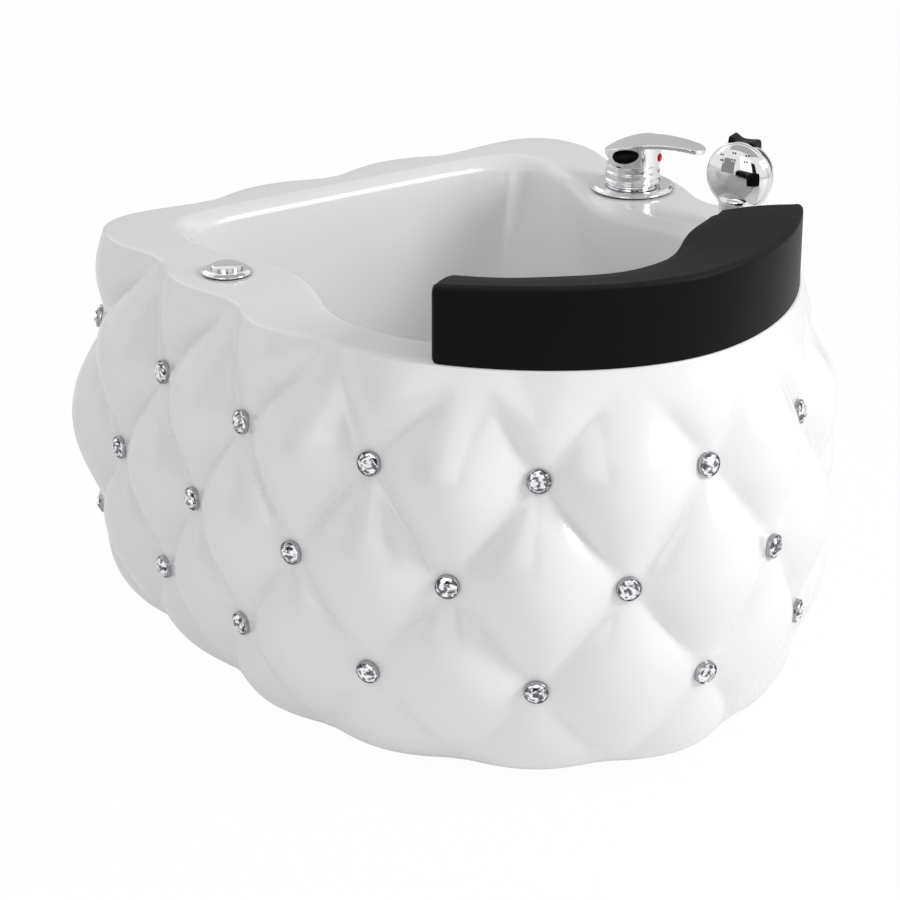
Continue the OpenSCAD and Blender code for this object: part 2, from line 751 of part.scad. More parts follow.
// The domed front of the head, as a profile about the spray direction
function dome(spare) = [for (a = [0:10:90])
    [(face_r + spare) * cos(a), face_at + (face_out - face_at + spare) * sin(a)]];
function reversed(list) = [for (i = [len(list) - 1:-1:0]) list[i]];
module handset_shell() {
    color("silver") difference() {
        union() {
            at_head() along_spray() rotate_extrude() polygon(concat(
                head_profile, [[head_r, 0], [head_r, face_at], [0, face_at]]));
            at_spray() rotate_extrude() polygon(concat(
                [[0, neck_low]], neck_profile, [[neck_r_high, neck_high + 4], [0, neck_high + 4]]));
        }
        at_head() along_spray() {
            rotate_extrude() polygon(concat([[0, face_at]], dome(fit_gap)));
            rod(chamber_r, 0, face_out);
        }
        at_head() translate([-trigger_d / 2 - 10, -trigger_w / 2 - free_gap, trigger_low - trigger_travel])
            cube([trigger_d + 2 * free_gap, trigger_w + 2 * free_gap, 30]);
        at_head() translate([-10, 0, 0]) rod(valve_r + run_gap, 0, trigger_low);
        at_spray() rod(5, neck_low - 1, head_z - 10);
    }
}
nozzle_r = 0.8;
nozzle_gap = 1.1;
// Places of the pairs of nozzles, as [across, up]
nozzles = [[-12, 20], [-0.5, 23], [11.5, 22], [-11, 15.5], [0, 17.5], [11, 17]];
module handset_face() {
    color("silver") at_head() along_spray() difference() {
        union() {
            rotate_extrude() polygon(concat(dome(0), reversed(dome(-face_wall))));
            tube(chamber_r - fit_gap, chamber_r - 2, face_at - 3, face_at + 2);
        }
        for (p = nozzles, k = [-1, 1])
            translate([-p[1], p[0] + nozzle_gap * k, 0]) rod(nozzle_r, face_at, face_out + 1);
    }
}
module handset_valve() {
    color("goldenrod") at_head() translate([-10, 0, 0]) rod(valve_r, 1, trigger_low - trigger_travel - 4);
}
module trigger_spring() {
    color("gray") at_head() translate([-10, 0, 0])
        tube(valve_r - 0.6, valve_r - 1.6, trigger_low - trigger_travel - 4, trigger_low);
}
module handset_trigger() {
    color("black") at_head() translate([-trigger_d / 2 - 10 + free_gap, 0, 0])
        rotate([90, 0, 90]) linear_extrude(trigger_d) polygon([
            [-trigger_w / 2, trigger_low], [trigger_w / 2, trigger_low],
            [trigger_w / 2, trigger_high - 3], [trigger_w / 2 - 3, trigger_high - 1.5],
            [0, trigger_high - 2.5], [-trigger_w / 2 + 4, trigger_high],
            [-trigger_w / 2 + 1.5, trigger_high - 1], [-trigger_w / 2, trigger_high - 8]]);
}

// ---- air button ------------------------------------------------------------
button_top = gasket_t + 3;
cap_top = button_top + button_rise;
barrel_low = -34;
cap_r = button_cap_d / 2;
barb_r = 2.6;
barb_len = 12;
module air_button_body() {
    color("silver") at_button() difference() {
        union() {
            rotate_extrude() polygon([
                [0, gasket_t], [button_flange_d / 2, gasket_t],
                [button_flange_d / 2, gasket_t + 1.2], [button_flange_d / 2 - 3, button_top],
                [0, button_top]]);
            rod(button_r, barrel_low, gasket_t);
            rod(barb_r, barrel_low - barb_len, barrel_low);
        }
        rod(cap_r + free_gap, barrel_low + 4, button_top + 1);
        rod(1.2, barrel_low - barb_len - 1, barrel_low + 5);
    }
}
module air_button_gasket() {
    color("dimgray") at_button() tube(button_flange_d / 2 - 1.5, button_r + fit_gap, 0, gasket_t);
}
module air_button_nut() {
    color("white") at_button() hex_nut(button_r + 6, button_r + fit_gap, -deck_t - 8, -deck_t);
}
module air_button_cap() {
    color("silver") at_button() difference() {
        rotate_extrude() polygon([
            [0, -3], [cap_r, -3], [cap_r, cap_top - 1.2], [cap_r - 1.2, cap_top],
            [0, cap_top + 0.3]]);
        rod(cap_r - 2, -4, cap_top - 2.5);
    }
}
module air_button_bellows() {
    bottom = barrel_low + 4;
    top = cap_top - 2.5;
    folds = 5;
    pitch = (top - bottom) / folds;
    color("dimgray") at_button() rotate_extrude() polygon(concat(
        [[7, top], [7, bottom]],
        [for (i = [0:folds - 1], k = [0, 1]) [k == 0 ? 8.2 : 10, bottom + pitch * (i + k / 2)]],
        [[8.2, top]]));
}

// ---- drain -----------------------------------------------------------------
drain_r = drain_d / 2;
drain_bore = drain_r - 4;
flange_r = drain_r + 11;
gasket_r = flange_r - 2;
plug_r = drain_r + 3;
stem_r = 2;
drain_low = -60;
tail_low = tail_gap - drain_z;
module drain_body() {
    color("silver") at_drain() {
        difference() {
            union() {
                rotate_extrude() polygon([
                    [0, gasket_t], [flange_r, gasket_t], [flange_r - 1.5, gasket_t + 1.8],
                    [flange_r - 7, gasket_t + 2.2],
                    [0, gasket_t + 2.2]]);
                rod(drain_r, drain_low, gasket_t);
            }
            rod(drain_bore, drain_low - 1, gasket_t + 3);
        }
        difference() {
            union() {
                rod(5, -10, -5);
                for (a = [0, 120, 240]) rotate(a) translate([3, -1.5, -10])
                    cube([drain_bore - 2, 3, 5]);
            }
            rod(stem_r + run_gap, -11, -4);
        }
    }
}
module drain_gasket() {
    color("dimgray") at_drain() tube(gasket_r, drain_r + fit_gap, 0, gasket_t);
}
module drain_lower_gasket() {
    color("dimgray") at_drain() tube(gasket_r, drain_r + fit_gap, -deck_t - 3, -deck_t);
}
module drain_nut() {
    color("white") at_drain() hex_nut(flange_r, drain_r + fit_gap, -deck_t - 13, -deck_t - 3);
}
module drain_tailpipe() {
    color("white") at_drain() {
        tube(tail_d / 2, tail_d / 2 - 2.2, tail_low, drain_low);
        tube(drain_bore - fit_gap, tail_d / 2 - 2.2, drain_low, drain_low + 14);
    }
}
plug_seat = gasket_t + 2.2;
module drain_plug() {
    color("silver") at_drain() {
        rotate_extrude() polygon([
            [0, plug_seat + 1.5], [plug_r, plug_seat + 1.5], [plug_r, plug_seat + 2.6],
            [plug_r - 1.5, plug_seat + 4], [plug_r / 2, plug_seat + 5], [0, plug_seat + 5.3]]);
        rod(stem_r, -16, plug_seat + 1.5);
    }
}
module drain_plug_seal() {
    color("dimgray") at_drain() tube(plug_r - 2, plug_r - 5.5, plug_seat, plug_seat + 1.5);
}

// ---- whirlpool jet ---------------------------------------------------------
jet_r = jet_d / 2;
jet_low = -28;
axle_r = 2;
rotor_r = 15;
jet_flange_r = 32;
jet_gasket_t = 2.5;
jet_face = jet_gasket_t + 4;
module jet_gasket() {
    color("dimgray") at_jet() tube(jet_flange_r - 1, jet_r + fit_gap, -1.5, jet_gasket_t);
}
module jet_housing() {
    color("whitesmoke") at_jet() difference() {
        union() {
            rod(jet_flange_r, jet_gasket_t, jet_face);
            rod(jet_r, jet_low, jet_gasket_t);
        }
        rod(jet_r - 3, jet_low + 3, jet_face + 1);
    }
}
module jet_nut() {
    color("whitesmoke") at_jet() tube(jet_r + 7, jet_r + fit_gap, -deck_t - 11, -deck_t - 0.6);
}
module jet_axle() { color("silver") at_jet() rod(axle_r, jet_low + 3, jet_face - 2); }
module jet_impeller() {
    color("white") at_jet() {
        tube(jet_r - 4, axle_r + run_gap, jet_low + 5, jet_low + 11);
        tube(5, axle_r + run_gap, jet_low + 11, jet_face - 4);
        for (a = [0:60:300]) rotate(a) translate([4, -1, jet_low + 11])
            cube([jet_r - 8.5, 2, 12]);
    }
}
module jet_cover() {
    color("whitesmoke") at_jet() translate([0, 0, jet_face + free_gap]) difference() {
        rotate_extrude() polygon([
            [0, 0], [jet_flange_r, 0], [jet_flange_r - 1, 4], [24, 8], [0, 9.5]]);
        rotate_extrude() polygon([[0, -1], [20, -1], [20, 3], [0, 6]]);
        rod(4, 0, 12);
        for (a = [0:30:330]) rotate(a) translate([13, 0, 0]) rod(2.2, -1, 12);
    }
}
module jet_motor() {
    color("dimgray") at_jet() translate([0, 0, jet_low]) difference() {
        rod(motor_d / 2, -motor_len, 0);
        rod(rotor_r + 2, -14, -2);
        rod(3, -motor_len + 5, -13);
    }
}
module jet_rotor() {
    color("silver") at_jet() translate([0, 0, jet_low]) {
        rod(rotor_r, -12, -4);
        rod(3 - run_gap, -motor_len + 6, -12);
    }
}

outer_shell();
basin_liner();
base_panel();
basin_blocks();
crystals();
crystal_cups();
footrest_pad();
pad_plate();
pad_studs();
pad_nuts();
tap_gasket();
tap_flange();
tap_body();
tap_tails();
tap_shank_washer();
tap_shank_nut();
tap_cartridge();
tap_bonnet_nut();
tap_spindle();
tap_pivot_pin();
tap_handle();
tap_handle_screw();
tap_index_plug();
spray_holder();
spray_gasket();
spray_holder_nut();
spray_holder_bush();
handset_shell();
handset_face();
handset_hose_nut();
handset_valve();
handset_trigger();
trigger_spring();
air_button_body();
air_button_gasket();
air_button_nut();
air_button_cap();
air_button_bellows();
drain_body();
drain_gasket();
drain_lower_gasket();
drain_nut();
drain_tailpipe();
drain_plug();
drain_plug_seal();
jet_housing();
jet_gasket();
jet_nut();
jet_axle();
jet_impeller();
jet_cover();
jet_motor();
jet_rotor();
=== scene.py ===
"""Pedicure foot basin: the looks of its pieces, modelled round the packed construction."""

import json
import math
from bisect import bisect_right

import bpy
from bpy.props import FloatProperty, FloatVectorProperty, PointerProperty
from mathutils import Matrix, Vector

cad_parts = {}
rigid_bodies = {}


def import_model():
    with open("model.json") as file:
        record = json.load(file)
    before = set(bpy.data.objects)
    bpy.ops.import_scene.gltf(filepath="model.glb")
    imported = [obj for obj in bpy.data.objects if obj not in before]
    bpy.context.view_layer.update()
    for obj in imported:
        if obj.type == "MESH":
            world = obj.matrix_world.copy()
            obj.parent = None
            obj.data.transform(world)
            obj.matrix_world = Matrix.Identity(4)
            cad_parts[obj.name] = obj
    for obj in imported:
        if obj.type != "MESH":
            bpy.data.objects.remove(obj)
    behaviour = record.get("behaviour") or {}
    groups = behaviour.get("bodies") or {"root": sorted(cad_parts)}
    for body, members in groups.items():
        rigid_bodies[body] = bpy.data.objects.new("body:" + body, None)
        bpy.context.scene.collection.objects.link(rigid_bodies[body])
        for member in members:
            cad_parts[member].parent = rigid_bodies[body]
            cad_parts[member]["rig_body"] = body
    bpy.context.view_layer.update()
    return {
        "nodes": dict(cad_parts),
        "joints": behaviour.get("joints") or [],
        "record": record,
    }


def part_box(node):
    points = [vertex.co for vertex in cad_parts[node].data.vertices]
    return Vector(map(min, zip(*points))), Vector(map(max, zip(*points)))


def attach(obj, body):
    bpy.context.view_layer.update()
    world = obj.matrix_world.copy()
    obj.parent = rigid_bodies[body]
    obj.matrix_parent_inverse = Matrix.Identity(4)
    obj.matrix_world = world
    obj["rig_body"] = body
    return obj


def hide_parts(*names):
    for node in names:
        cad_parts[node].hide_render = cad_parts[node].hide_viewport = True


bl_info = {
    "name": "Pedicure Foot Basin",
    "version": (1, 0, 0),
    "blender": (4, 5, 0),
    "location": "View3D > Sidebar > Foot Basin",
    "description": "Models a tufted foot basin with its leg rest and fittings",
    "category": "Object",
}

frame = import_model()

MM = 0.001


def middle(node):
    """The middle of a node's box."""
    low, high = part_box(node)
    return (low + high) / 2


DECK_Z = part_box("basin_liner")[1].z
TUB_H = DECK_Z / MM


# ---- settings ----------------------------------------------------------------
class TubSettings(bpy.types.PropertyGroup):
    """Sizes of the tub, in millimetres, and its colour."""

    half_w: FloatProperty(name="Half width", description="Half of the rim's width", default=251)
    front: FloatProperty(
        name="Front", description="From the origin to the rim's front", default=284
    )
    rear: FloatProperty(name="Rear", description="From the origin to the rim's back", default=281)
    pitch: FloatProperty(
        name="Pitch", description="Between columns of tufts on the rim", default=132.6
    )
    row_mid: FloatProperty(
        name="Middle row", description="Height of the middle crystals", default=198
    )
    row_gap: FloatProperty(name="Row gap", description="Between rows of crystals", default=90.5)
    depth: FloatProperty(
        name="Depth", description="How proud the tufts stand, as a share", default=1
    )
    colour: FloatVectorProperty(
        name="Gelcoat",
        description="Colour of the gelcoat",
        subtype="COLOR",
        default=(0.8, 0.8, 0.805),
    )


class RestSettings(bpy.types.PropertyGroup):
    """Sizes of the leg rest, in millimetres, and its colour."""

    height: FloatProperty(name="Height", description="Height at the outer edge", default=68)
    inner_height: FloatProperty(
        name="Inner height", description="Height at the inner edge", default=46
    )
    depth: FloatProperty(name="Depth", description="Depth at the middle", default=93)
    end_depth: FloatProperty(name="End depth", description="Depth at the ends", default=80)
    end_height: FloatProperty(
        name="End height", description="Height at the ends' outer edge", default=64
    )
    half_length: FloatProperty(
        name="Half length", description="Half of its length on the rim", default=219
    )
    colour: FloatVectorProperty(
        name="Skin",
        description="Colour of the moulded skin",
        subtype="COLOR",
        default=(0.0045, 0.0045, 0.0048),
    )


class FittingSettings(bpy.types.PropertyGroup):
    """Directions of the fittings and the colour of their plating."""

    lever_turn: FloatProperty(
        name="Lever",
        description="Direction of the lever",
        subtype="ANGLE",
        default=math.radians(-56.5),
    )
    spray_turn: FloatProperty(
        name="Spray",
        description="Direction of the spray",
        subtype="ANGLE",
        default=math.radians(207),
    )
    colour: FloatVectorProperty(
        name="Plating",
        description="Colour of the chrome",
        subtype="COLOR",
        default=(0.78, 0.78, 0.79),
    )


class StudioSettings(bpy.types.PropertyGroup):
    """The camera's place and the level of the lamps."""

    azimuth: FloatProperty(
        name="Azimuth",
        description="Direction of the camera",
        subtype="ANGLE",
        default=math.radians(-33.48),
    )
    elevation: FloatProperty(
        name="Elevation",
        description="Height of the camera",
        subtype="ANGLE",
        default=math.radians(22.87),
    )
    distance: FloatProperty(
        name="Distance",
        description="From the camera to what it looks at",
        subtype="DISTANCE",
        default=2.42,
    )
    lens: FloatProperty(name="Lens", description="Focal length in millimetres", default=116.3)
    level: FloatProperty(name="Level", description="Brightness of the room", default=0.6)


SETTINGS = {
    "basin_tub": TubSettings,
    "basin_rest": RestSettings,
    "basin_fittings": FittingSettings,
    "basin_studio": StudioSettings,
}


# ---- modelling helpers -------------------------------------------------------
TURN_STEPS = 96
CORNER_STEPS = 4
ON_AXIS = 0.001
BEVEL_ANGLE = math.radians(35)


def deselect():
    """Nothing is selected, so that an operator acts on the next piece alone."""
    bpy.ops.object.select_all(action="DESELECT")


def named(name):
    """Gives the newly added object its name."""
    piece = bpy.context.object
    piece.name = piece.data.name = name
    return piece


def take(piece):
    """Selects one piece and makes it the active one."""
    deselect()
    piece.select_set(True)
    bpy.context.view_layer.objects.active = piece


def apply_place():
    bpy.ops.object.transform_apply(location=True, rotation=True, scale=True)


def moved(piece, place):
    """Carries a piece to a place and settles it there."""
    take(piece)
    piece.matrix_world = place
    apply_place()
    return piece


def close_up(gap):
    """Merges doubles and turns the faces outwards, in edit mode."""
    bpy.ops.mesh.select_all(action="SELECT")
    bpy.ops.mesh.remove_doubles(threshold=gap)
    bpy.ops.mesh.normals_make_consistent(inside=False)
    bpy.ops.object.mode_set(mode="OBJECT")


def softened(points, radius, closed=False):
    """The outline with its corners rounded off."""
    corners = [Vector(p) for p in points]
    outline = []
    for i, corner in enumerate(corners):
        if not closed and i in (0, len(corners) - 1):
            outline.append(corner)
            continue
        before, after = corners[i - 1] - corner, corners[(i + 1) % len(corners)] - corner
        reach = min(radius, before.length * 0.45, after.length * 0.45)
        start, end = corner + before.normalized() * reach, corner + after.normalized() * reach
        for k in range(CORNER_STEPS + 1):
            t = k / CORNER_STEPS
            outline.append(start.lerp(corner, t).lerp(corner.lerp(end, t), t))
    return [tuple(p) for p in outline]


def turned(name, profile, steps=TURN_STEPS, closed=False):
    """A piece turned about +Z: a ring extruded and resized along a profile of radius and height."""
    path = [(max(r, ON_AXIS), z) for r, z in profile]
    if closed:
        path.append(path[0])
    radius, height = path[0]
    deselect()
    bpy.ops.mesh.primitive_circle_add(vertices=steps, radius=radius, location=(0, 0, height))
    piece = named(name)
    apply_place()
    bpy.ops.object.mode_set(mode="EDIT")
    bpy.ops.mesh.select_all(action="SELECT")
    for (r0, z0), (r1, z1) in zip(path, path[1:]):
        bpy.ops.mesh.extrude_region_move(TRANSFORM_OT_translate={"value": (0, 0, z1 - z0)})
        bpy.ops.transform.resize(value=(r1 / r0, r1 / r0, 1), center_override=(0, 0, z1))
    close_up(3 * ON_AXIS)
    return piece


def surface(name, across, along, point):
    """A grid whose corners are set by their column and row, with its matching edges merged."""
    deselect()
    bpy.ops.mesh.primitive_grid_add(x_subdivisions=across, y_subdivisions=along, size=2)
    piece = named(name)
    for vertex in piece.data.vertices:
        column = round((vertex.co.x + 1) / 2 * across)
        row = round((vertex.co.y + 1) / 2 * along)
        vertex.co = point(column % across, row)
    bpy.ops.object.mode_set(mode="EDIT")
    close_up(1e-4)
    return piece


def rod(name, radius, low, high, at=(0, 0), steps=TURN_STEPS):
    """A plain round bar along +Z."""
    deselect()
    place = (at[0], at[1], (low + high) / 2)
    bpy.ops.mesh.primitive_cylinder_add(
        vertices=steps, radius=radius, depth=high - low, location=place
    )
    piece = named(name)
    apply_place()
    return piece


def block(name, low, high):
    """A plain block between two corners."""
    deselect()
    low, high = Vector(low), Vector(high)
    bpy.ops.mesh.primitive_cube_add(size=1, location=(low + high) / 2)
    piece = named(name)
    piece.scale = high - low
    apply_place()
    return piece


def divided_block(name, low, high, counts):
    """A block whose faces are divided, ready to be shaped."""
    piece = block(name, low, high)
    take(piece)
    bpy.ops.object.mode_set(mode="EDIT")
    for axis, count in enumerate(counts):
        span = high[axis] - low[axis]
        for k in range(1, count):
            bpy.ops.mesh.select_all(action="SELECT")
            point, normal = [0.0, 0.0, 0.0], [0.0, 0.0, 0.0]
            point[axis], normal[axis] = low[axis] + span * k / count, 1.0
            bpy.ops.mesh.bisect(plane_co=point, plane_no=normal)
    bpy.ops.object.mode_set(mode="OBJECT")
    return piece


def ball(name, centre, size):
    """An egg-shaped tool."""
    deselect()
    bpy.ops.mesh.primitive_uv_sphere_add(segments=64, ring_count=32, radius=1, location=centre)
    piece = named(name)
    piece.scale = size
    apply_place()
    return piece


def combine(piece, tool, operation):
    """Joins, cuts or trims a piece with a tool, which is used up."""
    take(piece)
    bpy.ops.object.modifier_add(type="BOOLEAN")
    change = piece.modifiers[-1]
    change.operation = operation
    change.solver = "EXACT"
    change.object = tool
    bpy.ops.object.modifier_apply(modifier=change.name)
    bpy.data.objects.remove(tool)
    return piece


def cast(piece, grain, passes):
    """Gives a joined solid one even skin with soft edges, as a casting has."""
    take(piece)
    bpy.ops.object.modifier_add(type="REMESH")
    piece.modifiers[-1].mode = "VOXEL"
    piece.modifiers[-1].voxel_size = grain
    bpy.ops.object.modifier_apply(modifier=piece.modifiers[-1].name)
    bpy.ops.object.modifier_add(type="SMOOTH")
    piece.modifiers[-1].factor = 0.5
    piece.modifiers[-1].iterations = passes
    bpy.ops.object.modifier_apply(modifier=piece.modifiers[-1].name)
    return piece


def rounded(piece, width, segments):
    """Rounds a piece's sharp edges."""
    take(piece)
    bpy.ops.object.modifier_add(type="BEVEL")
    bevel = piece.modifiers[-1]
    bevel.width = width
    bevel.segments = segments
    bevel.limit_method = "ANGLE"
    bevel.angle_limit = BEVEL_ANGLE
    bpy.ops.object.modifier_apply(modifier=bevel.name)
    return piece


def turn_y(turn):
    return Matrix.Rotation(turn, 4, "Y")


def turn_z(turn):
    return Matrix.Rotation(turn, 4, "Z")


IN_MM = Matrix.Scale(MM, 4)
SIDEWAYS = turn_y(math.pi / 2)


def on_deck(node, turn=0.0):
    """The place of a fitting that stands on the deck, for a piece modelled in millimetres."""
    centre = middle(node)
    return Matrix.Translation((centre.x, centre.y, DECK_Z)) @ turn_z(turn) @ IN_MM


def fitted(piece, place, slot, *nodes, angle=35):
    """Sets a finished piece in place, on the body of the nodes that it stands for."""
    moved(piece, place)
    bpy.ops.object.shade_smooth_by_angle(angle=math.radians(angle))
    piece.data.materials.clear()
    piece.data.materials.append(finish(slot))
    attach(piece, frame["nodes"][nodes[0]]["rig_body"])
    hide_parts(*nodes)
    return piece


# ---- the rim and its tufts, in millimetres ------------------------------------
NOSE_ROUND = 0.006
FRONT_POWER = 1.85
REAR_POWER = 10
COLUMNS = 13
RIM_ROLL = 3
DECK_JOINT = RIM_ROLL + 9
# how far the skin stands off the rim, by share of the deck's height: in a groove, and on a crown
GROOVE_PROFILE = [(0, -77), (0.012, -56), (0.035, -34), (0.072, -14), (0.17, 7), (0.285, 17),
                  (0.528, 22), (0.77, 11), (0.9, 1), (1, -7)]
CROWN_PROFILE = [(0, -77), (0.012, -50), (0.035, -26), (0.072, -5), (0.17, 17), (0.285, 31),
                 (0.4, 39), (0.528, 42), (0.66, 40), (0.77, 35), (0.88, 24), (1, 6)]


def eased(t):
    t = min(1.0, max(0.0, t))
    return t * t * (3 - 2 * t)


def mixed(a, b, t):
    return a + (b - a) * t


def oval(angle, half_w, front, rear, front_power, rear_power):
    """A point of a closed outline at an angle from the front: round before, square behind."""
    s, c = math.sin(angle), -math.cos(angle)
    power, reach = (front_power, front) if c < 0 else (rear_power, rear)
    across = math.sqrt(s * s + NOSE_ROUND) / half_w
    r = (across**power + (abs(c) / reach) ** power) ** (-1 / power)
    return Vector((r * s, r * c))


class Flow:
    """A smooth curve through points, without overshoot."""

    def __init__(self, points):
        self.xs, self.ys = zip(*points)
        steps = [(y1 - y0) / (x1 - x0) for (x0, y0), (x1, y1) in zip(points, points[1:])]
        inner = [0 if a * b <= 0 else 2 * a * b / (a + b) for a, b in zip(steps, steps[1:])]
        self.slopes = [steps[0]] + inner + [steps[-1]]

    def __call__(self, x):
        i = min(max(bisect_right(self.xs, x) - 1, 0), len(self.xs) - 2)
        gap = self.xs[i + 1] - self.xs[i]
        t = (min(max(x, self.xs[0]), self.xs[-1]) - self.xs[i]) / gap
        rise = eased(t)
        bend = t * (1 - t) ** 2 * self.slopes[i] - t * t * (1 - t) * self.slopes[i + 1]
        return mixed(self.ys[i], self.ys[i + 1], rise) + bend * gap


class Rim:
    """The rim's outline, measured along its length from the middle of the front."""

    steps = 720
    # the turn round a back corner: its middle, in columns before the last, and its length
    corner_back = 1.375
    corner_len = 0.75
    normal_reach = 1.5

    def __init__(self, sizes):
        self.sizes = sizes
        self.lengths = [0.0]
        for i in range(self.steps):
            step = self.at(math.pi * (i + 1) / self.steps) - self.at(math.pi * i / self.steps)
            self.lengths.append(self.lengths[-1] + step.length)
        self.half = self.lengths[-1]
        self.last_column = COLUMNS / 2
        self.corner = self.last_column - self.corner_back
        self.stretch = self.half - sizes.pitch * self.last_column
        self.row_top = sizes.row_mid + sizes.row_gap

    def at(self, angle, inset=0.0):
        sizes = self.sizes
        reaches = (size - inset for size in (sizes.half_w, sizes.front, sizes.rear))
        return oval(angle, *reaches, FRONT_POWER, REAR_POWER)

    def angle_of(self, s):
        i = min(bisect_right(self.lengths, abs(s)) - 1, self.steps - 1)
        t = (abs(s) - self.lengths[i]) / (self.lengths[i + 1] - self.lengths[i])
        return math.copysign(math.pi * (i + t) / self.steps, s)

    def normal(self, s):
        ahead = self.at(self.angle_of(min(s + self.normal_reach, self.half)))
        along = ahead - self.at(self.angle_of(max(s - self.normal_reach, -self.half)))
        along.normalize()
        return Vector((along.y, -along.x))

    def offset(self, s, out):
        """A point off the rim: outwards square to it, or inwards on a smaller outline."""
        angle = self.angle_of(s)
        return self.at(angle) + out * self.normal(s) if out > 0 else self.at(angle, -out)

    def arc_of(self, u):
        """Length along the rim of a column of tufts; the back corners take up what is left."""
        rise = eased((abs(u) - self.corner) / self.corner_len + 0.5)
        return self.sizes.pitch * u + math.copysign(self.stretch * rise, u)


class Tufts:
    """How far the tufted skin stands off the rim's outline, by column and height."""

    fullness = 0.55
    softness = 0.06
    # the grooves above the top crystals lean, on the sides alone; lengths in columns
    lean = 0.17
    lean_from_front = 2.5
    lean_to_corner = 1.2
    # the middle of the front is plain above the top crystals
    plain_front = 1.2
    plain_fade = 2
    plain_height = 0.55

    def __init__(self, rim):
        self.rim = rim
        self.groove_flow = Flow(GROOVE_PROFILE)
        self.crown_flow = Flow(CROWN_PROFILE)

    def groove(self, z):
        return self.groove_flow(z / TUB_H)

    def crown(self, z):
        return mixed(self.groove(z), self.crown_flow(z / TUB_H), self.rim.sizes.depth)

    def height(self, u, z):
        """0 in a groove and 1 on a crown."""
        rim, sizes = self.rim, self.rim.sizes
        side = eased(abs(u) / self.lean_from_front)
        side *= 1 - eased((abs(u) - rim.corner) / self.lean_to_corner + 0.5)
        rise = eased((z - rim.row_top) / (TUB_H - rim.row_top))
        w = u + math.copysign(self.lean, u) * rise * side
        v = (z - sizes.row_mid) / (2 * sizes.row_gap)
        one, other = math.sin(math.pi * (w + v + 0.5)), math.sin(math.pi * (w - v + 0.5))
        blunt, power = self.softness**2, self.fullness / 2
        low = blunt**power
        return (((one * other) ** 2 + blunt) ** power - low) / ((1 + blunt) ** power - low)

    def skin(self, u, z):
        top = TUB_H - RIM_ROLL
        plain = 1 - eased((abs(u) - self.plain_front) / self.plain_fade)
        plain *= eased((z - self.rim.row_top) / (top - self.rim.row_top))
        height = mixed(self.height(u, z), self.plain_height, plain)
        return mixed(self.groove(z), self.crown(z), height)


# ---- shader helpers ------------------------------------------------------------
class Wire:
    """A shader socket that Python's operators work on."""

    def __init__(self, finish_, socket):
        self.finish, self.socket = finish_, socket

    def _math(self, operation, first, second):
        return self.finish.node("ShaderNodeMath", {"operation": operation}, {0: first, 1: second})

    def __add__(self, other):
        return self._math("ADD", self, other)

    def __radd__(self, other):
        return self._math("ADD", other, self)

    def __mul__(self, other):
        return self._math("MULTIPLY", self, other)

    def __rmul__(self, other):
        return self._math("MULTIPLY", other, self)


class Finish:
    """A material and its nodes. Shader sockets that stay constant are set by name."""

    def __init__(self, name, **constants):
        self.material = bpy.data.materials.new(name)
        self.material.use_nodes = True
        self.tree = self.material.node_tree
        self.tree.nodes.clear()
        output = self.tree.nodes.new("ShaderNodeOutputMaterial")
        self.shader = self.tree.nodes.new("ShaderNodeBsdfPrincipled")
        self.tree.links.new(self.shader.outputs["BSDF"], output.inputs["Surface"])
        for socket, value in constants.items():
            self.shader.inputs[socket.replace("_", " ")].default_value = value
        self.place = self.node("ShaderNodeTexCoord", output="Object")

    def node(self, kind, settings=None, values=None, output=0):
        """Adds a node with its settings and its sockets' values or links, and gives one output."""
        node = self.tree.nodes.new(kind)
        for name, value in (settings or {}).items():
            setattr(node, name, value)
        for name, value in (values or {}).items():
            self.put(node.inputs[name], value)
        return Wire(self, node.outputs[output])

    def put(self, socket, value):
        if isinstance(value, Wire):
            self.tree.links.new(value.socket, socket)
        elif socket.type == "RGBA" and len(value) == 3:
            socket.default_value = (*value, 1)
        else:
            socket.default_value = value

    def set(self, **sockets):
        for name, value in sockets.items():
            self.put(self.shader.inputs[name.replace("_", " ")], value)

    def stretched(self, x, y, z):
        """The piece's coordinates, stretched."""
        return self.node("ShaderNodeMapping", {}, {"Vector": self.place, "Scale": (x, y, z)})

    def noise(self, scale, detail, rough=0.5, place=None):
        place = place or self.place
        values = {"Vector": place, "Scale": scale, "Detail": detail, "Roughness": rough}
        return self.node("ShaderNodeTexNoise", {}, values)

    def cells(self, scale):
        return self.node("ShaderNodeTexVoronoi", {}, {"Vector": self.place, "Scale": scale})

    def span(self, value, low, high):
        """0 below low, 1 above high, and an even slope between."""
        values = {"Value": value, "From Min": low, "From Max": high}
        return self.node("ShaderNodeMapRange", {}, values)

    def blend(self, share, first, second):
        """A colour between two."""
        values = {0: share, 6: first, 7: second}
        return self.node("ShaderNodeMix", {"data_type": "RGBA"}, values, output=2)

    def bump(self, height, distance, strength):
        """A surface's relief, from a height of 0 to 1 and its real depth in metres."""
        values = {"Height": height, "Distance": distance, "Strength": strength}
        return self.node("ShaderNodeBump", {}, values)


def tint(colour, factor):
    return tuple(min(1.0, c * factor) for c in colour)


# ---- finishes --------------------------------------------------------------------
# how far up a face of the leg rest looks before it counts as its top, and how much lighter its
# colour is painted there, as painted light
TOP_FROM, TOP_FULL = 0.35, 0.8
TOP_PAINTED_LIGHT = 4.5
CHROME_HAZE = 0.04


def gelcoat(name):
    """Polished white gelcoat: a faint orange peel under a clear, hard gloss."""
    colour = tuple(bpy.context.scene.basin_tub.colour)
    m = Finish(name, IOR=1.5, Coat_Weight=0.35, Coat_Roughness=0.04)
    cloud, peel = m.noise(5, 3), m.noise(260, 2)
    m.set(
        Base_Color=m.blend(cloud, tint(colour, 0.985), tint(colour, 1.015)),
        Roughness=0.17 + m.noise(14, 4) * 0.1,
        Normal=m.bump(peel, 0.00006, 0.6),
    )
    return m.material


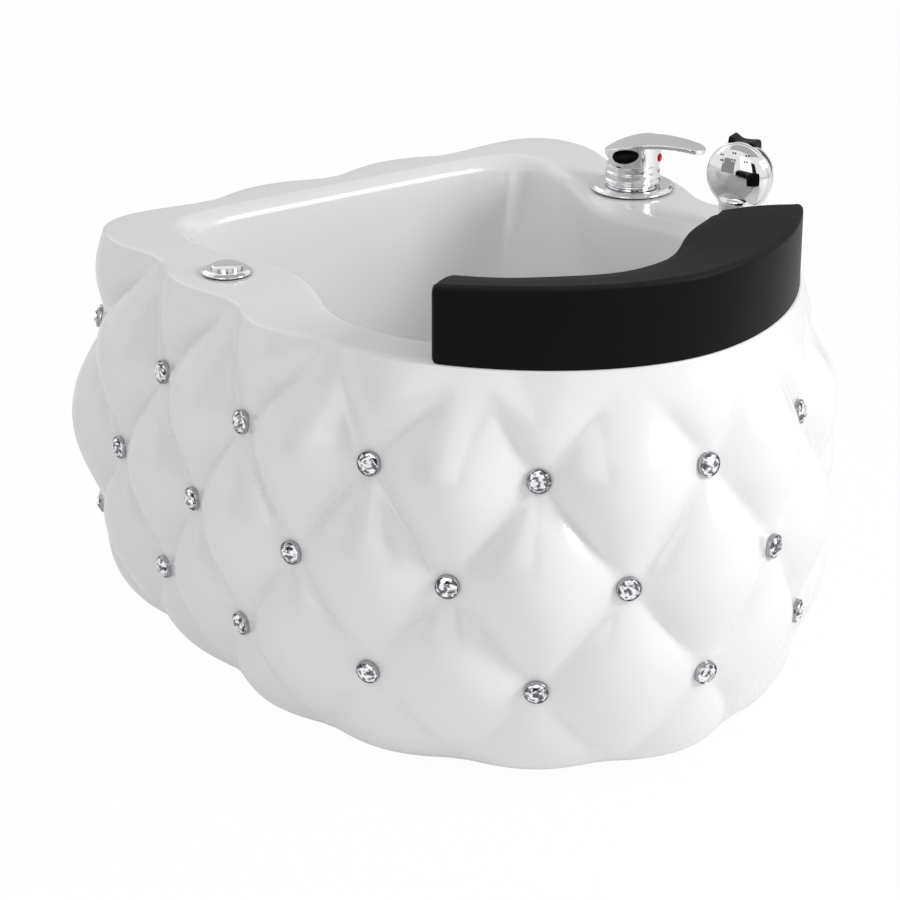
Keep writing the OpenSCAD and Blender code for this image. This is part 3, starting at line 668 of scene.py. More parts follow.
def plating(name, colour, roughness):
    """Polished plating: a mirror with the faintest haze."""
    m = Finish(name, Metallic=1.0)
    haze = m.noise(60, 4)
    m.set(
        Base_Color=m.blend(haze, tint(colour, 0.97), colour),
        Roughness=roughness + haze * CHROME_HAZE,
        Normal=m.bump(m.noise(90, 1), 0.00004, 0.3),
    )
    return m.material


def turned_metal(name, colour, roughness):
    """Machined or zinc plated metal with fine marks."""
    m = Finish(name, Metallic=1.0)
    marks = m.noise(700, 3, place=m.stretched(1, 1, 0.15))
    m.set(
        Base_Color=m.blend(m.noise(40, 3), tint(colour, 0.85), colour),
        Roughness=roughness + marks * 0.15,
        Normal=m.bump(marks, 0.00005, 0.5),
    )
    return m.material


def moulded_skin(name):
    """Integral skin of the leg rest: smooth and satin down the front, wrinkled and matt on top."""
    colour = tuple(bpy.context.scene.basin_rest.colour)
    m = Finish(name, IOR=1.45, Specular_IOR_Level=0.08)
    normal = m.node("ShaderNodeNewGeometry", output="Normal")
    up = m.node("ShaderNodeSeparateXYZ", {}, {"Vector": normal}, output="Z")
    top = m.span(up, TOP_FROM, TOP_FULL)
    wrinkle = m.cells(260)
    cloud = m.noise(70, 5, 0.65)
    relief = (wrinkle * 0.6 + cloud * 0.9) * top + m.noise(900, 2) * 0.08
    m.set(
        # painted light: faces that look up get a lighter base colour, as if lit from above, and the
        # front stays dark
        Base_Color=m.blend(top * (0.4 + cloud * 0.6), colour, tint(colour, TOP_PAINTED_LIGHT)),
        Roughness=0.36 + top * 0.26 + cloud * 0.08,
        Normal=m.bump(relief, 0.0006, 0.7),
    )
    return m.material


def rhinestone(name):
    """Clear acrylic over a mirror foil, which splits what it shows into bright and dark patches."""
    m = Finish(name, Metallic=1.0, Coat_Weight=1.0, Coat_Roughness=0.01)
    # painted reflection: the metal's own colour switches between bright and dark patches where a
    # cut crystal would mirror its surroundings
    painted_glint_patch = m.span(m.noise(230, 1, place=m.stretched(1, 1, 1.3)), 0.42, 0.56)
    m.set(
        Base_Color=m.blend(painted_glint_patch, (0.1, 0.105, 0.12), (0.97, 0.98, 1.0)),
        Roughness=0.02 + m.noise(300, 1) * 0.05,
    )
    return m.material


def moulding(name, colour, roughness, grain=0.00005, gloss=0.5):
    """A plain moulded plastic or rubber with a fine texture."""
    m = Finish(name, IOR=1.47, Specular_IOR_Level=gloss)
    cloud, fine = m.noise(30, 3), m.noise(1400, 2)
    m.set(
        Base_Color=m.blend(cloud, tint(colour, 0.9), tint(colour, 1.06)),
        Roughness=roughness + cloud * 0.1,
        Normal=m.bump(fine, grain, 0.7),
    )
    return m.material


def plywood(name, colour):
    """Sealed plywood: long grain with darker streaks."""
    m = Finish(name)
    grain = m.noise(18, 6, 0.6, place=m.stretched(1, 9, 4))
    m.set(
        Base_Color=m.blend(m.span(grain, 0.35, 0.7), tint(colour, 0.7), colour),
        Roughness=0.45 + grain * 0.2,
        Normal=m.bump(grain, 0.0002, 0.5),
    )
    return m.material


def rigid_foam(name, colour):
    """Cut closed-cell foam."""
    m = Finish(name)
    pores = m.cells(600)
    m.set(
        Base_Color=m.blend(pores, tint(colour, 0.8), colour),
        Roughness=0.8 + pores * 0.1,
        Normal=m.bump(pores, 0.0004, 0.8),
    )
    return m.material


def enamel(name):
    """The index plug: red enamel."""
    m = Finish(name, Specular_IOR_Level=0.25)
    m.set(
        Base_Color=m.blend(m.noise(200, 1), (0.66, 0.002, 0.003), (0.8, 0.004, 0.004)),
        Roughness=0.2 + m.noise(90, 1) * 0.1,
    )
    return m.material


def make_finish(slot, name):
    """The finish of one of the record's slots."""
    plated = tuple(bpy.context.scene.basin_fittings.colour)
    steel, brass = (0.56, 0.57, 0.58), (0.72, 0.52, 0.22)
    makers = {
        "shell_gelcoat": lambda: gelcoat(name),
        "basin_gelcoat": lambda: gelcoat(name),
        "board": lambda: plywood(name, (0.46, 0.29, 0.14)),
        "foam_block": lambda: rigid_foam(name, (0.75, 0.68, 0.45)),
        "crystal": lambda: rhinestone(name),
        "cup_metal": lambda: plating(name, (0.4, 0.4, 0.42), 0.12),
        "pad_leather": lambda: moulded_skin(name),
        "zinc_steel": lambda: turned_metal(name, steel, 0.3),
        "rubber": lambda: moulding(name, (0.02, 0.02, 0.02), 0.6, 0.0001),
        "chrome": lambda: plating(name, plated, 0.035),
        "brass": lambda: turned_metal(name, brass, 0.26),
        "cartridge_plastic": lambda: moulding(name, (0.05, 0.05, 0.055), 0.4),
        "index_enamel": lambda: enamel(name),
        "black_plastic": lambda: moulding(name, (0.003, 0.003, 0.003), 0.4, 0.00008, 0.15),
        "white_plastic": lambda: moulding(name, (0.78, 0.78, 0.77), 0.28),
        "motor_case": lambda: moulding(name, (0.03, 0.03, 0.033), 0.42, 0.0001),
    }
    return makers[slot]()


def finish(slot):
    """The slot's material, made once."""
    name = slot + "_finish"
    return bpy.data.materials.get(name) or make_finish(slot, name)


# ---- operators: the tub ------------------------------------------------------------
MOUTH_R = 12
DECK_T = 6
LEDGE_W = 14
SHELL_WALL = 6
FOOT_W = 20
BASE_T = 10
# holes in the deck and in the basin's wall
HOLDER_HOLE_R = 10.6
BUTTON_HOLE_R = 15.6
JET_HOLE_R = 20.1


def placed(point, z):
    return Vector((point.x, point.y, z))


class FOOTBASIN_OT_shell(bpy.types.Operator):
    """Model the tufted outer shell"""

    bl_idname = "footbasin.shell"
    bl_label = "Tufted shell"

    per_column = 48
    low_rows = (0, 1.5, 3, 4.5, 6.5, 9, 12)
    even_from = 14
    roll_steps = 5
    inner_rows = 6
    inner_low = 50
    # how far the inside stands off the foot's edge, and its height
    toe = ((48, 28), (14, 12))

    def execute(self, context):
        rim = Rim(context.scene.basin_tub)
        tufts = Tufts(rim)
        across = COLUMNS * self.per_column
        columns = [i / self.per_column - rim.last_column for i in range(across)]
        arcs = [rim.arc_of(u) for u in columns]
        top = TUB_H - RIM_ROLL
        rows = list(self.low_rows)
        step = 2 * rim.sizes.row_gap / self.per_column
        level = rim.sizes.row_mid - math.floor((rim.sizes.row_mid - self.even_from) / step) * step
        while level < top - 1:
            rows.append(level)
            level += step
        rows.append(top)

        def skin_ring(z):
            return [placed(rim.offset(s, tufts.skin(u, z)), z) for u, s in zip(columns, arcs)]

        def plain_ring(out, z):
            return [placed(rim.offset(s, out), z) for s in arcs]

        def roll_ring(turn):
            z = top + RIM_ROLL * math.sin(turn)
            inset = RIM_ROLL * (1 - math.cos(turn))
            outs = [tufts.skin(u, top) - inset for u in columns]
            return [placed(rim.offset(s, out), z) for s, out in zip(arcs, outs)]

        ledge_low = TUB_H - 2 * DECK_T
        foot = GROOVE_PROFILE[0][1]
        rings = [skin_ring(z) for z in rows]
        roll = range(1, self.roll_steps + 1)
        rings += [roll_ring(math.pi / 2 * i / self.roll_steps) for i in roll]
        rings += [plain_ring(-DECK_JOINT, TUB_H), plain_ring(-DECK_JOINT, TUB_H - DECK_T)]
        rings += [plain_ring(-LEDGE_W, TUB_H - DECK_T), plain_ring(-LEDGE_W, ledge_low)]
        for i in range(self.inner_rows + 1):
            z = mixed(ledge_low - 2, self.inner_low, i / self.inner_rows)
            rings.append(plain_ring(min(tufts.groove(z), tufts.groove(z + 20)) - SHELL_WALL, z))
        rings += [plain_ring(foot + out, z) for out, z in self.toe]
        rings += [plain_ring(foot - FOOT_W, BASE_T), plain_ring(foot - FOOT_W, 0)]
        rings.append(rings[0])
        piece = surface("tufted_shell", across, len(rings) - 1, lambda i, j: rings[j][i])
        fitted(piece, IN_MM, "shell_gelcoat", "outer_shell", angle=50)
        return {"FINISHED"}


class Bowl:
    """The basin's wall: rings by inset from the mouth's edge and depth below the deck."""

    floor_r = 55
    depth = 270
    side_draft = math.tan(math.radians(15))
    rear_draft = math.tan(math.radians(8))
    waist, waist_y, waist_len, waist_fade = 38, 62, 88, 110
    half_w, front, rear = 198, 228, 240
    rear_power = 8

    def __init__(self, rim, angles):
        self.rim, self.angles = rim, angles

    def at(self, angle, inset, depth):
        point = oval(
            angle,
            self.half_w - inset - depth * self.side_draft,
            self.front - inset - depth * self.side_draft,
            self.rear - inset - depth * self.rear_draft,
            FRONT_POWER,
            self.rear_power,
        )
        waist = self.waist * (1 - eased(depth / self.waist_fade))
        waist *= math.exp(-(((point.y - self.waist_y) / self.waist_len) ** 2))
        point.x -= math.copysign(min(waist, abs(point.x)), point.x)
        return point

    def ring(self, inset, depth):
        return [placed(self.at(a, inset, depth), TUB_H - depth) for a in self.angles]

    def round_ring(self, radius, depth):
        """A ring about the drain."""
        centre = (middle("drain_gasket") / MM).xy
        return [
            placed(centre + radius * Vector((math.sin(a), -math.cos(a))), TUB_H - depth)
            for a in self.angles
        ]


class FOOTBASIN_OT_basin(bpy.types.Operator):
    """Model the basin with its deck, and cut the holes for the fittings"""

    bl_idname = "footbasin.basin"
    bl_label = "Basin and deck"

    per_column = 32
    arc_steps = 10
    deck_steps = 4
    wall_rows = 12
    under_rows = 4
    floor_rows = 8
    floor_fall = 3
    seat_r = 38
    drain_flange_w = 11

    def execute(self, context):
        rim = Rim(context.scene.basin_tub)
        across = COLUMNS * self.per_column
        arcs = [rim.arc_of(i / self.per_column - rim.last_column) for i in range(across)]
        bowl = Bowl(rim, [rim.angle_of(s) for s in arcs])
        edge = [placed(rim.offset(s, -DECK_JOINT), TUB_H) for s in arcs]
        rings = self.inside(bowl, edge) + self.outside(bowl, edge)
        piece = surface("basin_and_deck", across, len(rings) - 1, lambda i, j: rings[j][i])
        moved(piece, IN_MM)
        for tool in self.drills():
            combine(piece, tool, "DIFFERENCE")
        fitted(piece, Matrix.Identity(4), "basin_gelcoat", "basin_liner", angle=40)
        return {"FINISHED"}

    def between(self, first, last, steps):
        """Rings from one to another, with the last and without the first."""
        return [[a.lerp(b, i / steps) for a, b in zip(first, last)] for i in range(1, steps + 1)]

    def quarter(self, skip=1):
        return [math.pi / 2 * i / self.arc_steps for i in range(0, self.arc_steps + 1, skip)]

    def wall_low(self, bowl):
        return bowl.depth - bowl.floor_r

    def inside(self, bowl, edge):
        """Rings from the deck's edge over the mouth and down to the drain."""
        low, floor = self.wall_low(bowl), bowl.floor_r
        seat_depth = bowl.depth + self.floor_fall
        rings = [edge] + self.between(edge, bowl.ring(-MOUTH_R, 0), self.deck_steps)[:-1]
        rings += [
            bowl.ring(-MOUTH_R * (1 - math.sin(a)), MOUTH_R * (1 - math.cos(a)))
            for a in self.quarter()
        ]
        rings += [
            bowl.ring(0, mixed(MOUTH_R, low, i / self.wall_rows)) for i in range(1, self.wall_rows)
        ]
        rings += [
            bowl.ring(floor * (1 - math.cos(a)), low + floor * math.sin(a)) for a in self.quarter()
        ]
        rings += self.between(rings[-1], bowl.round_ring(self.seat_r, seat_depth), self.floor_rows)
        return rings

    def outside(self, bowl, edge):
        """Rings through the drain's hole and back up under the floor, the wall and the deck."""
        body_low, body_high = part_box("drain_body")
        bore = (body_high.x - body_low.x) / MM / 2 - self.drain_flange_w
        seat_depth = bowl.depth + self.floor_fall
        under_seat = seat_depth + DECK_T
        rings = [bowl.round_ring(bore, seat_depth), bowl.round_ring(bore, under_seat)]
        rings.append(bowl.round_ring(self.seat_r, under_seat))
        low, floor = self.wall_low(bowl), bowl.floor_r + DECK_T
        rings += [
            bowl.ring(-DECK_T + floor * (1 - math.cos(a)), low + floor * math.sin(a))
            for a in reversed(self.quarter(2))
        ]
        rings += [
            bowl.ring(-DECK_T, mixed(low, MOUTH_R, i / self.under_rows))
            for i in range(1, self.under_rows)
        ]
        under = MOUTH_R - DECK_T
        rings += [
            bowl.ring(-MOUTH_R + under * math.sin(a), MOUTH_R - under * math.cos(a))
            for a in reversed(self.quarter(5))
        ]
        return rings + [[point - Vector((0, 0, DECK_T)) for point in edge], edge]

    def drills(self):
        """Bars that cut the holes for the spray holder, the air button and the jet."""
        for node, radius in (("spray_gasket", HOLDER_HOLE_R), ("air_button_gasket", BUTTON_HOLE_R)):
            yield rod("drill", radius * MM, DECK_Z - 0.012, DECK_Z + 0.01, at=middle(node).xy)
        jet = Matrix.Translation(middle("jet_gasket")) @ jet_axis().to_matrix().to_4x4()
        yield moved(rod("drill", JET_HOLE_R * MM, -0.02, 0.02), jet)


def jet_axis():
    """The turn that carries +Z to the jet's axis."""
    axis = next(Vector(row["axis"]) for row in frame["joints"] if row["name"] == "rotor_spin")
    return axis.to_track_quat("Z", "Y")


class FOOTBASIN_OT_crystals(bpy.types.Operator):
    """Model one crystal in its cup, and copy it to every crossing of the grooves"""

    bl_idname = "footbasin.crystals"
    bl_label = "Crystals"

    radius = 9.2
    table = 0.5
    star = 0.8
    girdle = 1.4
    crown = 4.8
    culet = -2.4
    facets = 8
    cup_wall = 1.1
    # how the crystals sit: proud of the groove, leaning with the wall, each turned its own way
    rise = 2.5
    lean = math.radians(8)
    turn = 2.4

    def execute(self, context):
        rim = Rim(context.scene.basin_tub)
        gem = self.gem()
        cup = self.cup()
        self.spread(gem, rim)
        self.spread(cup, rim)
        fitted(gem, IN_MM, "crystal", "crystals", angle=5)
        fitted(cup, IN_MM, "cup_metal", "crystal_cups")
        return {"FINISHED"}

    def ring(self, radius, height, twist):
        """Extrudes the selected ring to a new radius and height, turned by half a facet or not."""
        up = (0, 0, height - self.at_z)
        bpy.ops.mesh.extrude_region_move(TRANSFORM_OT_translate={"value": up})
        share = radius / self.at_r
        bpy.ops.transform.resize(value=(share, share, 1), center_override=(0, 0, height))
        if twist:
            bpy.ops.transform.rotate(
                value=math.pi / self.facets, orient_axis="Z", center_override=(0, 0, height)
            )
        self.at_r, self.at_z = radius, height

    def gem(self):
        """A brilliant: a table, a crown of kites, a girdle, and a pavilion down to its culet."""
        deselect()
        self.at_r, self.at_z = self.radius * self.table, self.crown
        bpy.ops.mesh.primitive_circle_add(
            vertices=self.facets, radius=self.at_r, fill_type="NGON", location=(0, 0, self.at_z)
        )
        piece = named("crystals_cut")
        apply_place()
        bpy.ops.object.mode_set(mode="EDIT")
        bpy.ops.mesh.select_all(action="SELECT")
        bpy.ops.mesh.select_mode(type="EDGE")
        bpy.ops.mesh.region_to_loop()
        self.ring(self.radius * self.star, mixed(self.girdle, self.crown, 0.5), True)
        self.ring(self.radius * 0.985, self.girdle, True)
        self.ring(self.radius, self.girdle - 0.2, False)
        self.ring(self.radius, 0.1, False)
        self.ring(self.radius * self.table, mixed(0, self.culet, 0.55), True)
        self.ring(ON_AXIS, self.culet, False)
        close_up(3 * ON_AXIS)
        return piece

    def cup(self):
        """A pressed cup with a rolled lip that holds the girdle, and a pin behind."""
        r, wall = self.radius, self.cup_wall
        bed = [(0.0, self.culet - 0.2), (r * 0.55, self.culet * 0.5), (r - 0.1, 0.0)]
        lip = [(r + 0.05, 0.4), (r + 0.05, 1.3), (r + 0.3, 1.6), (r + wall * 0.7, 1.5),
               (r + wall, 1.0)]
        back = [(r + wall, -2.6), (r + wall - 0.5, -3.0), (2.2, -3.0)]
        pin = [(2.0, -3.4), (2.0, -15.6), (1.6, -16.0), (0.0, -16.0)]
        return turned("crystal_cups_pressed", bed + lip + back + pin, steps=48)

    def spread(self, piece, rim):
        """Copies the piece to every crossing and joins the copies."""
        tufts = Tufts(rim)
        sizes = rim.sizes
        rows = ((rim.row_top, 0.5, self.lean), (sizes.row_mid, 1.0, 0.0),
                (sizes.row_mid - sizes.row_gap, 0.5, -self.lean))
        first = -rim.last_column
        seats = [
            (first + i + shift, z, lean) for i in range(COLUMNS) for z, shift, lean in rows
        ]
        copies = []
        for u, z, lean in seats:
            s = rim.arc_of(u)
            point, normal = rim.offset(s, tufts.groove(z) + self.rise), rim.normal(s)
            place = Matrix.Translation(placed(point, z)) @ turn_z(math.atan2(normal.y, normal.x))
            take(piece)
            bpy.ops.object.duplicate()
            copies.append(bpy.context.object)
            copies[-1].matrix_world = place @ turn_y(math.pi / 2 - lean) @ turn_z(u * self.turn)
        deselect()
        for copy in copies:
            copy.select_set(True)
        bpy.context.view_layer.objects.active = copies[0]
        apply_place()
        bpy.ops.object.join()
        joined = bpy.context.object
        old = piece.data
        piece.data = joined.data
        bpy.data.objects.remove(joined)
        bpy.data.meshes.remove(old)


class FOOTBASIN_OT_leg_rest(bpy.types.Operator):
    """Model the leg rest that stands on the rim's front"""

    bl_idname = "footbasin.leg_rest"
    bl_label = "Leg rest"

    stations = 120
    end_r = 6
    end_steps = 6
    edge_r = 5
    inner_r = 13
    inner_steps = 6
    # the gaps to the rim's edge and to the deck, and how much the top is crowned
    edge_gap = 0.5
    deck_gap = 0.2
    crown = 2.5
    crown_at = (0.12, 0.25, 0.4, 0.55, 0.7, 0.82)
    # the slow wave of the inner edge
    wave = 1.2
    wave_len = 21
    # how much deeper and higher the inner edge runs on the mixer's side, and where
    swell, swell_at, swell_len = 11, 140, 75
    lift, lift_from, lift_len = 5, 20, 160

    def section(self, rest, s, shrink):
        """Points of inset from the rim and height above the deck, round the pad's section."""
        depth = mixed(rest.depth, rest.end_depth, (s / rest.half_length) ** 2) - shrink
        depth += self.wave * math.sin(s / self.wave_len) * (1 - shrink / self.end_r)
        depth += self.swell * math.exp(-(((s - self.swell_at) / self.swell_len) ** 2))
        outer, low = self.edge_gap + shrink, rest.inner_height - shrink
        low += self.lift * eased((s - self.lift_from) / self.lift_len)
        high = mixed(rest.height, rest.end_height, (s / rest.half_length) ** 4) - shrink
        edge, inner = self.edge_r, self.inner_r
        points = [(outer, shrink + self.deck_gap), (outer, high - edge)]
        for a in (math.radians(d) for d in range(15, 91, 15)):
            points.append((outer + edge * (1 - math.cos(a)), high - edge * (1 - math.sin(a))))
        for t in self.crown_at:
            crown = self.crown * math.sin(math.pi * t)
            points.append((mixed(outer, depth, t), mixed(high, low, t) + crown))
        slope = math.atan2(high - low, depth)
        for k in range(self.inner_steps + 1):
            a = mixed(math.pi / 2 - slope, 0, k / self.inner_steps)
            points.append((depth - inner * (1 - math.cos(a)), low - inner * (1 - math.sin(a))))
        return points + [
            (depth, shrink + 3.5), (depth - 0.8, shrink + 1.2), (depth - 3, shrink + self.deck_gap)
        ]

    def execute(self, context):
        rim = Rim(context.scene.basin_tub)
        rest = context.scene.basin_rest
        length = rest.half_length
        plain_end = length - self.end_r
        first = [(-plain_end - reach, shrink) for reach, shrink in reversed(self.quarter())]
        plain = [
            (mixed(-plain_end, plain_end, k / self.stations), 0.0) for k in range(self.stations + 1)
        ]
        last = [(-s, shrink) for s, shrink in reversed(first)]
        rows = []
        for s, shrink in first + plain + last:
            held = min(max(s, -length), length)
            section = self.section(rest, held, shrink)
            rows.append([placed(rim.offset(held, -inset), TUB_H + up) for inset, up in section])
        piece = surface("leg_rest", len(rows[0]), len(rows) - 1, lambda i, j: rows[j][i])
        take(piece)
        bpy.ops.object.mode_set(mode="EDIT")
        bpy.ops.mesh.select_all(action="DESELECT")
        bpy.ops.mesh.select_non_manifold()
        bpy.ops.mesh.fill_holes(sides=0)
        close_up(1e-4)
        fitted(piece, IN_MM, "pad_leather", "footrest_pad", angle=60)
        return {"FINISHED"}

    def quarter(self):
        """How the pad's rounded end reaches out and draws in."""
        turns = [math.pi / 2 * k / self.end_steps for k in range(1, self.end_steps + 1)]
        return [(self.end_r * math.sin(a), self.end_r * (1 - math.cos(a)) * 0.8) for a in turns]


# ---- operators: the fittings -------------------------------------------------------
GASKET_T = 1.5
FLANGE_TOP = 5.0
TAP_R = 25.5
COLLAR_TOP = FLANGE_TOP + 13.5
NECK_TOP = 24.5
DRUM_LOW = NECK_TOP + 0.6


class FOOTBASIN_OT_mixer(bpy.types.Operator):
    """Model the mixer: its flange, its body, and the handle with its lever and index plug"""

    bl_idname = "footbasin.mixer"
    bl_label = "Mixer"

    shank_r = 16
    cavity_r = 18
    # the long curve of the handle's top
    arch_at = (32.8, 0, -98.2)
    arch_r = 146.8
    arch_w = 140
    top = 75
    lever_t = 4
    lever_len = 68.5
    tip_r = 12
    root = 23.5
    drum_wall = 9.5
    index_z = 32
    index_r = 3.9
    scoop_size = (14, 8.5, 6.5)
    scoop_z = 36.5
    scoop_turn = math.radians(-10)
    relief_turn = math.radians(19)

    def execute(self, context):
        place = on_deck("tap_flange", context.scene.basin_fittings.lever_turn)
        fitted(self.flange(), place, "chrome", "tap_flange")
        fitted(self.body(), place, "chrome", "tap_body")
        handle = self.handle()
        # painted shadow: the scoops' walls take the black plastic finish so that they read dark,
        # though the handle is all chrome
        painted_shadow_faces = [face.index for face in handle.data.polygons if self.in_scoop(face.center)]
        fitted(handle, place, "chrome", "tap_handle", angle=60)
        handle.data.materials.append(finish("black_plastic"))
        for index in painted_shadow_faces:
            handle.data.polygons[index].material_index = 1
        fitted(self.plug(), place, "index_enamel", "tap_index_plug")
        return {"FINISHED"}

    def flange(self):
        r = self.shank_r + 0.1
        outline = [(r, GASKET_T), (38.5, GASKET_T), (38.5, 3.3), (36.4, 3.6), (35.4, FLANGE_TOP),
                   (r, FLANGE_TOP)]
        return turned("mixer_flange", softened(outline, 0.7, closed=True), closed=True)

    def body(self):
        """The shank, and above it the foot, a rolled ring, the collar and a recess."""
        low, r = FLANGE_TOP, TAP_R
        shank = [(self.shank_r, -45), (self.shank_r, low)]
        foot = [(r - 3.2, low), (r - 3.2, low + 2.3), (r - 0.3, low + 2.7)]
        ring = [(r + 0.5, low + 3.7), (r + 0.5, low + 5.8), (r - 0.9, low + 6.6)]
        collar = [(r - 0.5, low + 7.6), (r - 0.5, COLLAR_TOP - 0.4), (r - 1.9, COLLAR_TOP + 0.2)]
        recess = [(r - 1.9, NECK_TOP), (self.cavity_r, NECK_TOP), (self.cavity_r, 8)]
        outside = softened(shank + foot + ring + collar + recess, 0.7)
        return turned("mixer_body", [(0, -45)] + outside + [(0, 8)])

    def arch(self, radius):
        """A long bar across the lever, whose round is the curve of the handle's top."""
        deselect()
        bpy.ops.mesh.primitive_cylinder_add(
            vertices=192,
            radius=radius,
            depth=self.arch_w,
            location=self.arch_at,
            rotation=(math.pi / 2, 0, 0),
        )
        piece = named("arch")
        apply_place()
        return piece

    def plan(self, low, high):
        """The handle's outline from above: the drum, and the lever with its round tip."""
        solid = rod("mixer_handle", TAP_R, low, high)
        reach = self.lever_len - self.tip_r
        arm = block("arm", (0, -self.root, low), (reach, self.root, high))
        for vertex in arm.data.vertices:
            if vertex.co.x > 1:
                vertex.co.y *= self.tip_r / self.root
        combine(solid, arm, "UNION")
        return combine(solid, rod("tip", self.tip_r, low, high, at=(reach, 0)), "UNION")

    def handle(self):
        """The arched lever and the hollow drum, joined, cast and scooped out on both sides."""
        under = self.arch_r - self.lever_t
        blade = self.plan(DRUM_LOW, self.top)
        combine(blade, self.arch(self.arch_r), "INTERSECT")
        combine(blade, self.arch(under), "DIFFERENCE")
        drum = rod("drum", TAP_R, DRUM_LOW, self.top)
        combine(drum, self.arch(self.arch_r - 1), "INTERSECT")
        hollow = rod("hollow", TAP_R - self.drum_wall, DRUM_LOW - 1, self.top)
        combine(drum, combine(hollow, self.arch(under), "INTERSECT"), "DIFFERENCE")
        combine(blade, drum, "UNION")
        combine(blade, self.relief(), "DIFFERENCE")
        blade.name = "mixer_handle"
        cast(blade, 0.5, 6)
        for side in (-1, 1):
            combine(blade, self.scoop(side), "DIFFERENCE")
        return blade

    def scoop(self, side):
        """A hollow in the drum's side, under the root of the lever."""
        return moved(ball("scoop", (0, 0, 0), self.scoop_size), self.scoop_place(side))

    def scoop_place(self, side):
        return Matrix.Translation((1, side * (TAP_R + 0.5), self.scoop_z)) @ turn_y(self.scoop_turn)

    def in_scoop(self, point):
        """Whether a point of the handle is on the wall of a scoop, which lies in shadow."""
        for side in (-1, 1):
            local = self.scoop_place(side).inverted() @ point
            if sum((a / b) ** 2 for a, b in zip(local, self.scoop_size)) < 1.02:
                return True
        return False

    def relief(self):
        """The slope that lets the back of the drum swing down when the lever lifts."""
        slope = Matrix.Translation((0, 0, DRUM_LOW)) @ turn_y(self.relief_turn)
        return moved(block("relief", (-60, -40, -40), (0, 40, 0)), slope)

    def plug(self):
        """A small domed disc let into the front of the handle."""
        r = self.index_r
        dome = softened([(0, -2.2), (r, -2.2), (r, 0.6), (r - 1.1, 1.7), (0, 2.1)], 0.4)
        piece = turned("mixer_index", dome, steps=48)
        return moved(piece, Matrix.Translation((TAP_R - 0.3, 0, self.index_z)) @ SIDEWAYS)


class FOOTBASIN_OT_handset(bpy.types.Operator):
    """Model the spray handset with its trigger, and the holder that it stands in"""

    bl_idname = "footbasin.handset"
    bl_label = "Spray handset"

    head_r = 30
    head_z = 50
    face_r = 29
    face_at = 3
    face_out = 16
    holder_top = 14
    holder_bore = 8.9
    neck_low = 15.6
    neck_r = 17.6
    room_spare = 0.35
    # across and up, from the face's middle
    nozzles = ((-12, 20), (-0.5, 23), (11.5, 22), (-11, 15.5), (0, 17.5), (11, 17))
    nozzle_r = 0.8
    nozzle_gap = 1.1
    tab_low = (-17.15, -13, 19)
    tab_high = (-2.15, 13, 36)

    def execute(self, context):
        place = on_deck("spray_gasket", context.scene.basin_fittings.spray_turn)
        head = place @ self.lifted()
        fitted(self.holder(), place, "chrome", "spray_holder")
        fitted(self.shell(), place, "chrome", "handset_shell", angle=50)
        fitted(self.face(), head @ SIDEWAYS, "chrome", "handset_face", angle=45)
        fitted(self.trigger(), head, "black_plastic", "handset_trigger", angle=50)
        return {"FINISHED"}

    def lifted(self):
        return Matrix.Translation((0, 0, self.head_z))

    def holder(self):
        """The flanged cone on the deck, with its barrel through it."""
        bore, top = self.holder_bore, self.holder_top
        barrel = [(bore, -30), (10.5, -30), (10.5, GASKET_T)]
        cone = [(18.5, GASKET_T), (18.5, 3.6), (17, 6), (15.8, 6.6), (14.6, top), (bore, top)]
        return turned("spray_holder_turned", softened(barrel + cone, 0.6, closed=True), closed=True)

    def cap(self, name, spare):
        """The front of the head: half an egg about the spray's axis."""
        r, out = self.face_r + spare, self.face_out + spare
        low = self.face_at - spare
        turns = [math.pi / 2 * k / 16 for k in range(17)]
        dome = [(r * math.cos(a), low + (out - self.face_at) * math.sin(a)) for a in turns]
        return turned(name, [(0, low)] + dome, steps=128)

    def shell(self):
        """The back of the head and the neck in one, with room for the face and the trigger."""
        r, mid = self.head_r, self.head_z
        turns = [math.pi / 2 * k / 18 for k in range(19)]
        back = [(r * math.sin(a), -r * math.cos(a)) for a in turns]
        head = turned("handset_body", back + [(r, self.face_at), (0, self.face_at)], steps=128)
        moved(head, self.lifted() @ SIDEWAYS)
        sides = [(16, self.neck_low), (self.neck_r, mid - 24), (self.neck_r, mid - 19)]
        neck = turned("neck", softened([(0, self.neck_low)] + sides + [(0, mid - 14)], 1))
        combine(head, neck, "UNION")
        combine(head, ball("shoulder", (-5, 0, mid - 14), (20, 25, 18)), "UNION")
        cast(head, 0.8, 24)
        room = moved(self.cap("room", self.room_spare), self.lifted() @ SIDEWAYS)
        combine(head, room, "DIFFERENCE")
        combine(head, block("slot", (-17.9, -13.4, mid + 16), (-1.6, 13.4, mid + 40)), "DIFFERENCE")
        return rounded(head, 0.25, 2)

    def face(self):
        """The domed face with its pairs of nozzles near the top."""
        face = self.cap("handset_front", 0)
        for across, up in self.nozzles:
            for side in (-self.nozzle_gap, self.nozzle_gap):
                hole = rod("nozzle", self.nozzle_r, 4, 20, at=(-up, across + side), steps=16)
                combine(face, hole, "DIFFERENCE")
        return rounded(face, 0.2, 2)

    def trigger(self):
        """A thumb tab with a hollow top, one horn higher than the other."""
        piece = divided_block("trigger_tab", self.tab_low, self.tab_high, (6, 16, 8))
        low, high, half_w = self.tab_low[2], self.tab_high[2], self.tab_high[1]
        for vertex in piece.data.vertices:
            y = vertex.co.y
            up = (vertex.co.z - low) / (high - low)
            crest = 30.6 - 1.6 * math.cos(y / half_w * math.pi / 2)
            crest += 2.6 * eased((-y - 4) / 8) - 1.2 * eased((y - 9) / 5)
            vertex.co.z = low + up * (crest - low)
            vertex.co.y = y * (1 - 0.06 * eased((up - 0.6) / 0.4))
        return rounded(piece, 1.2, 4)


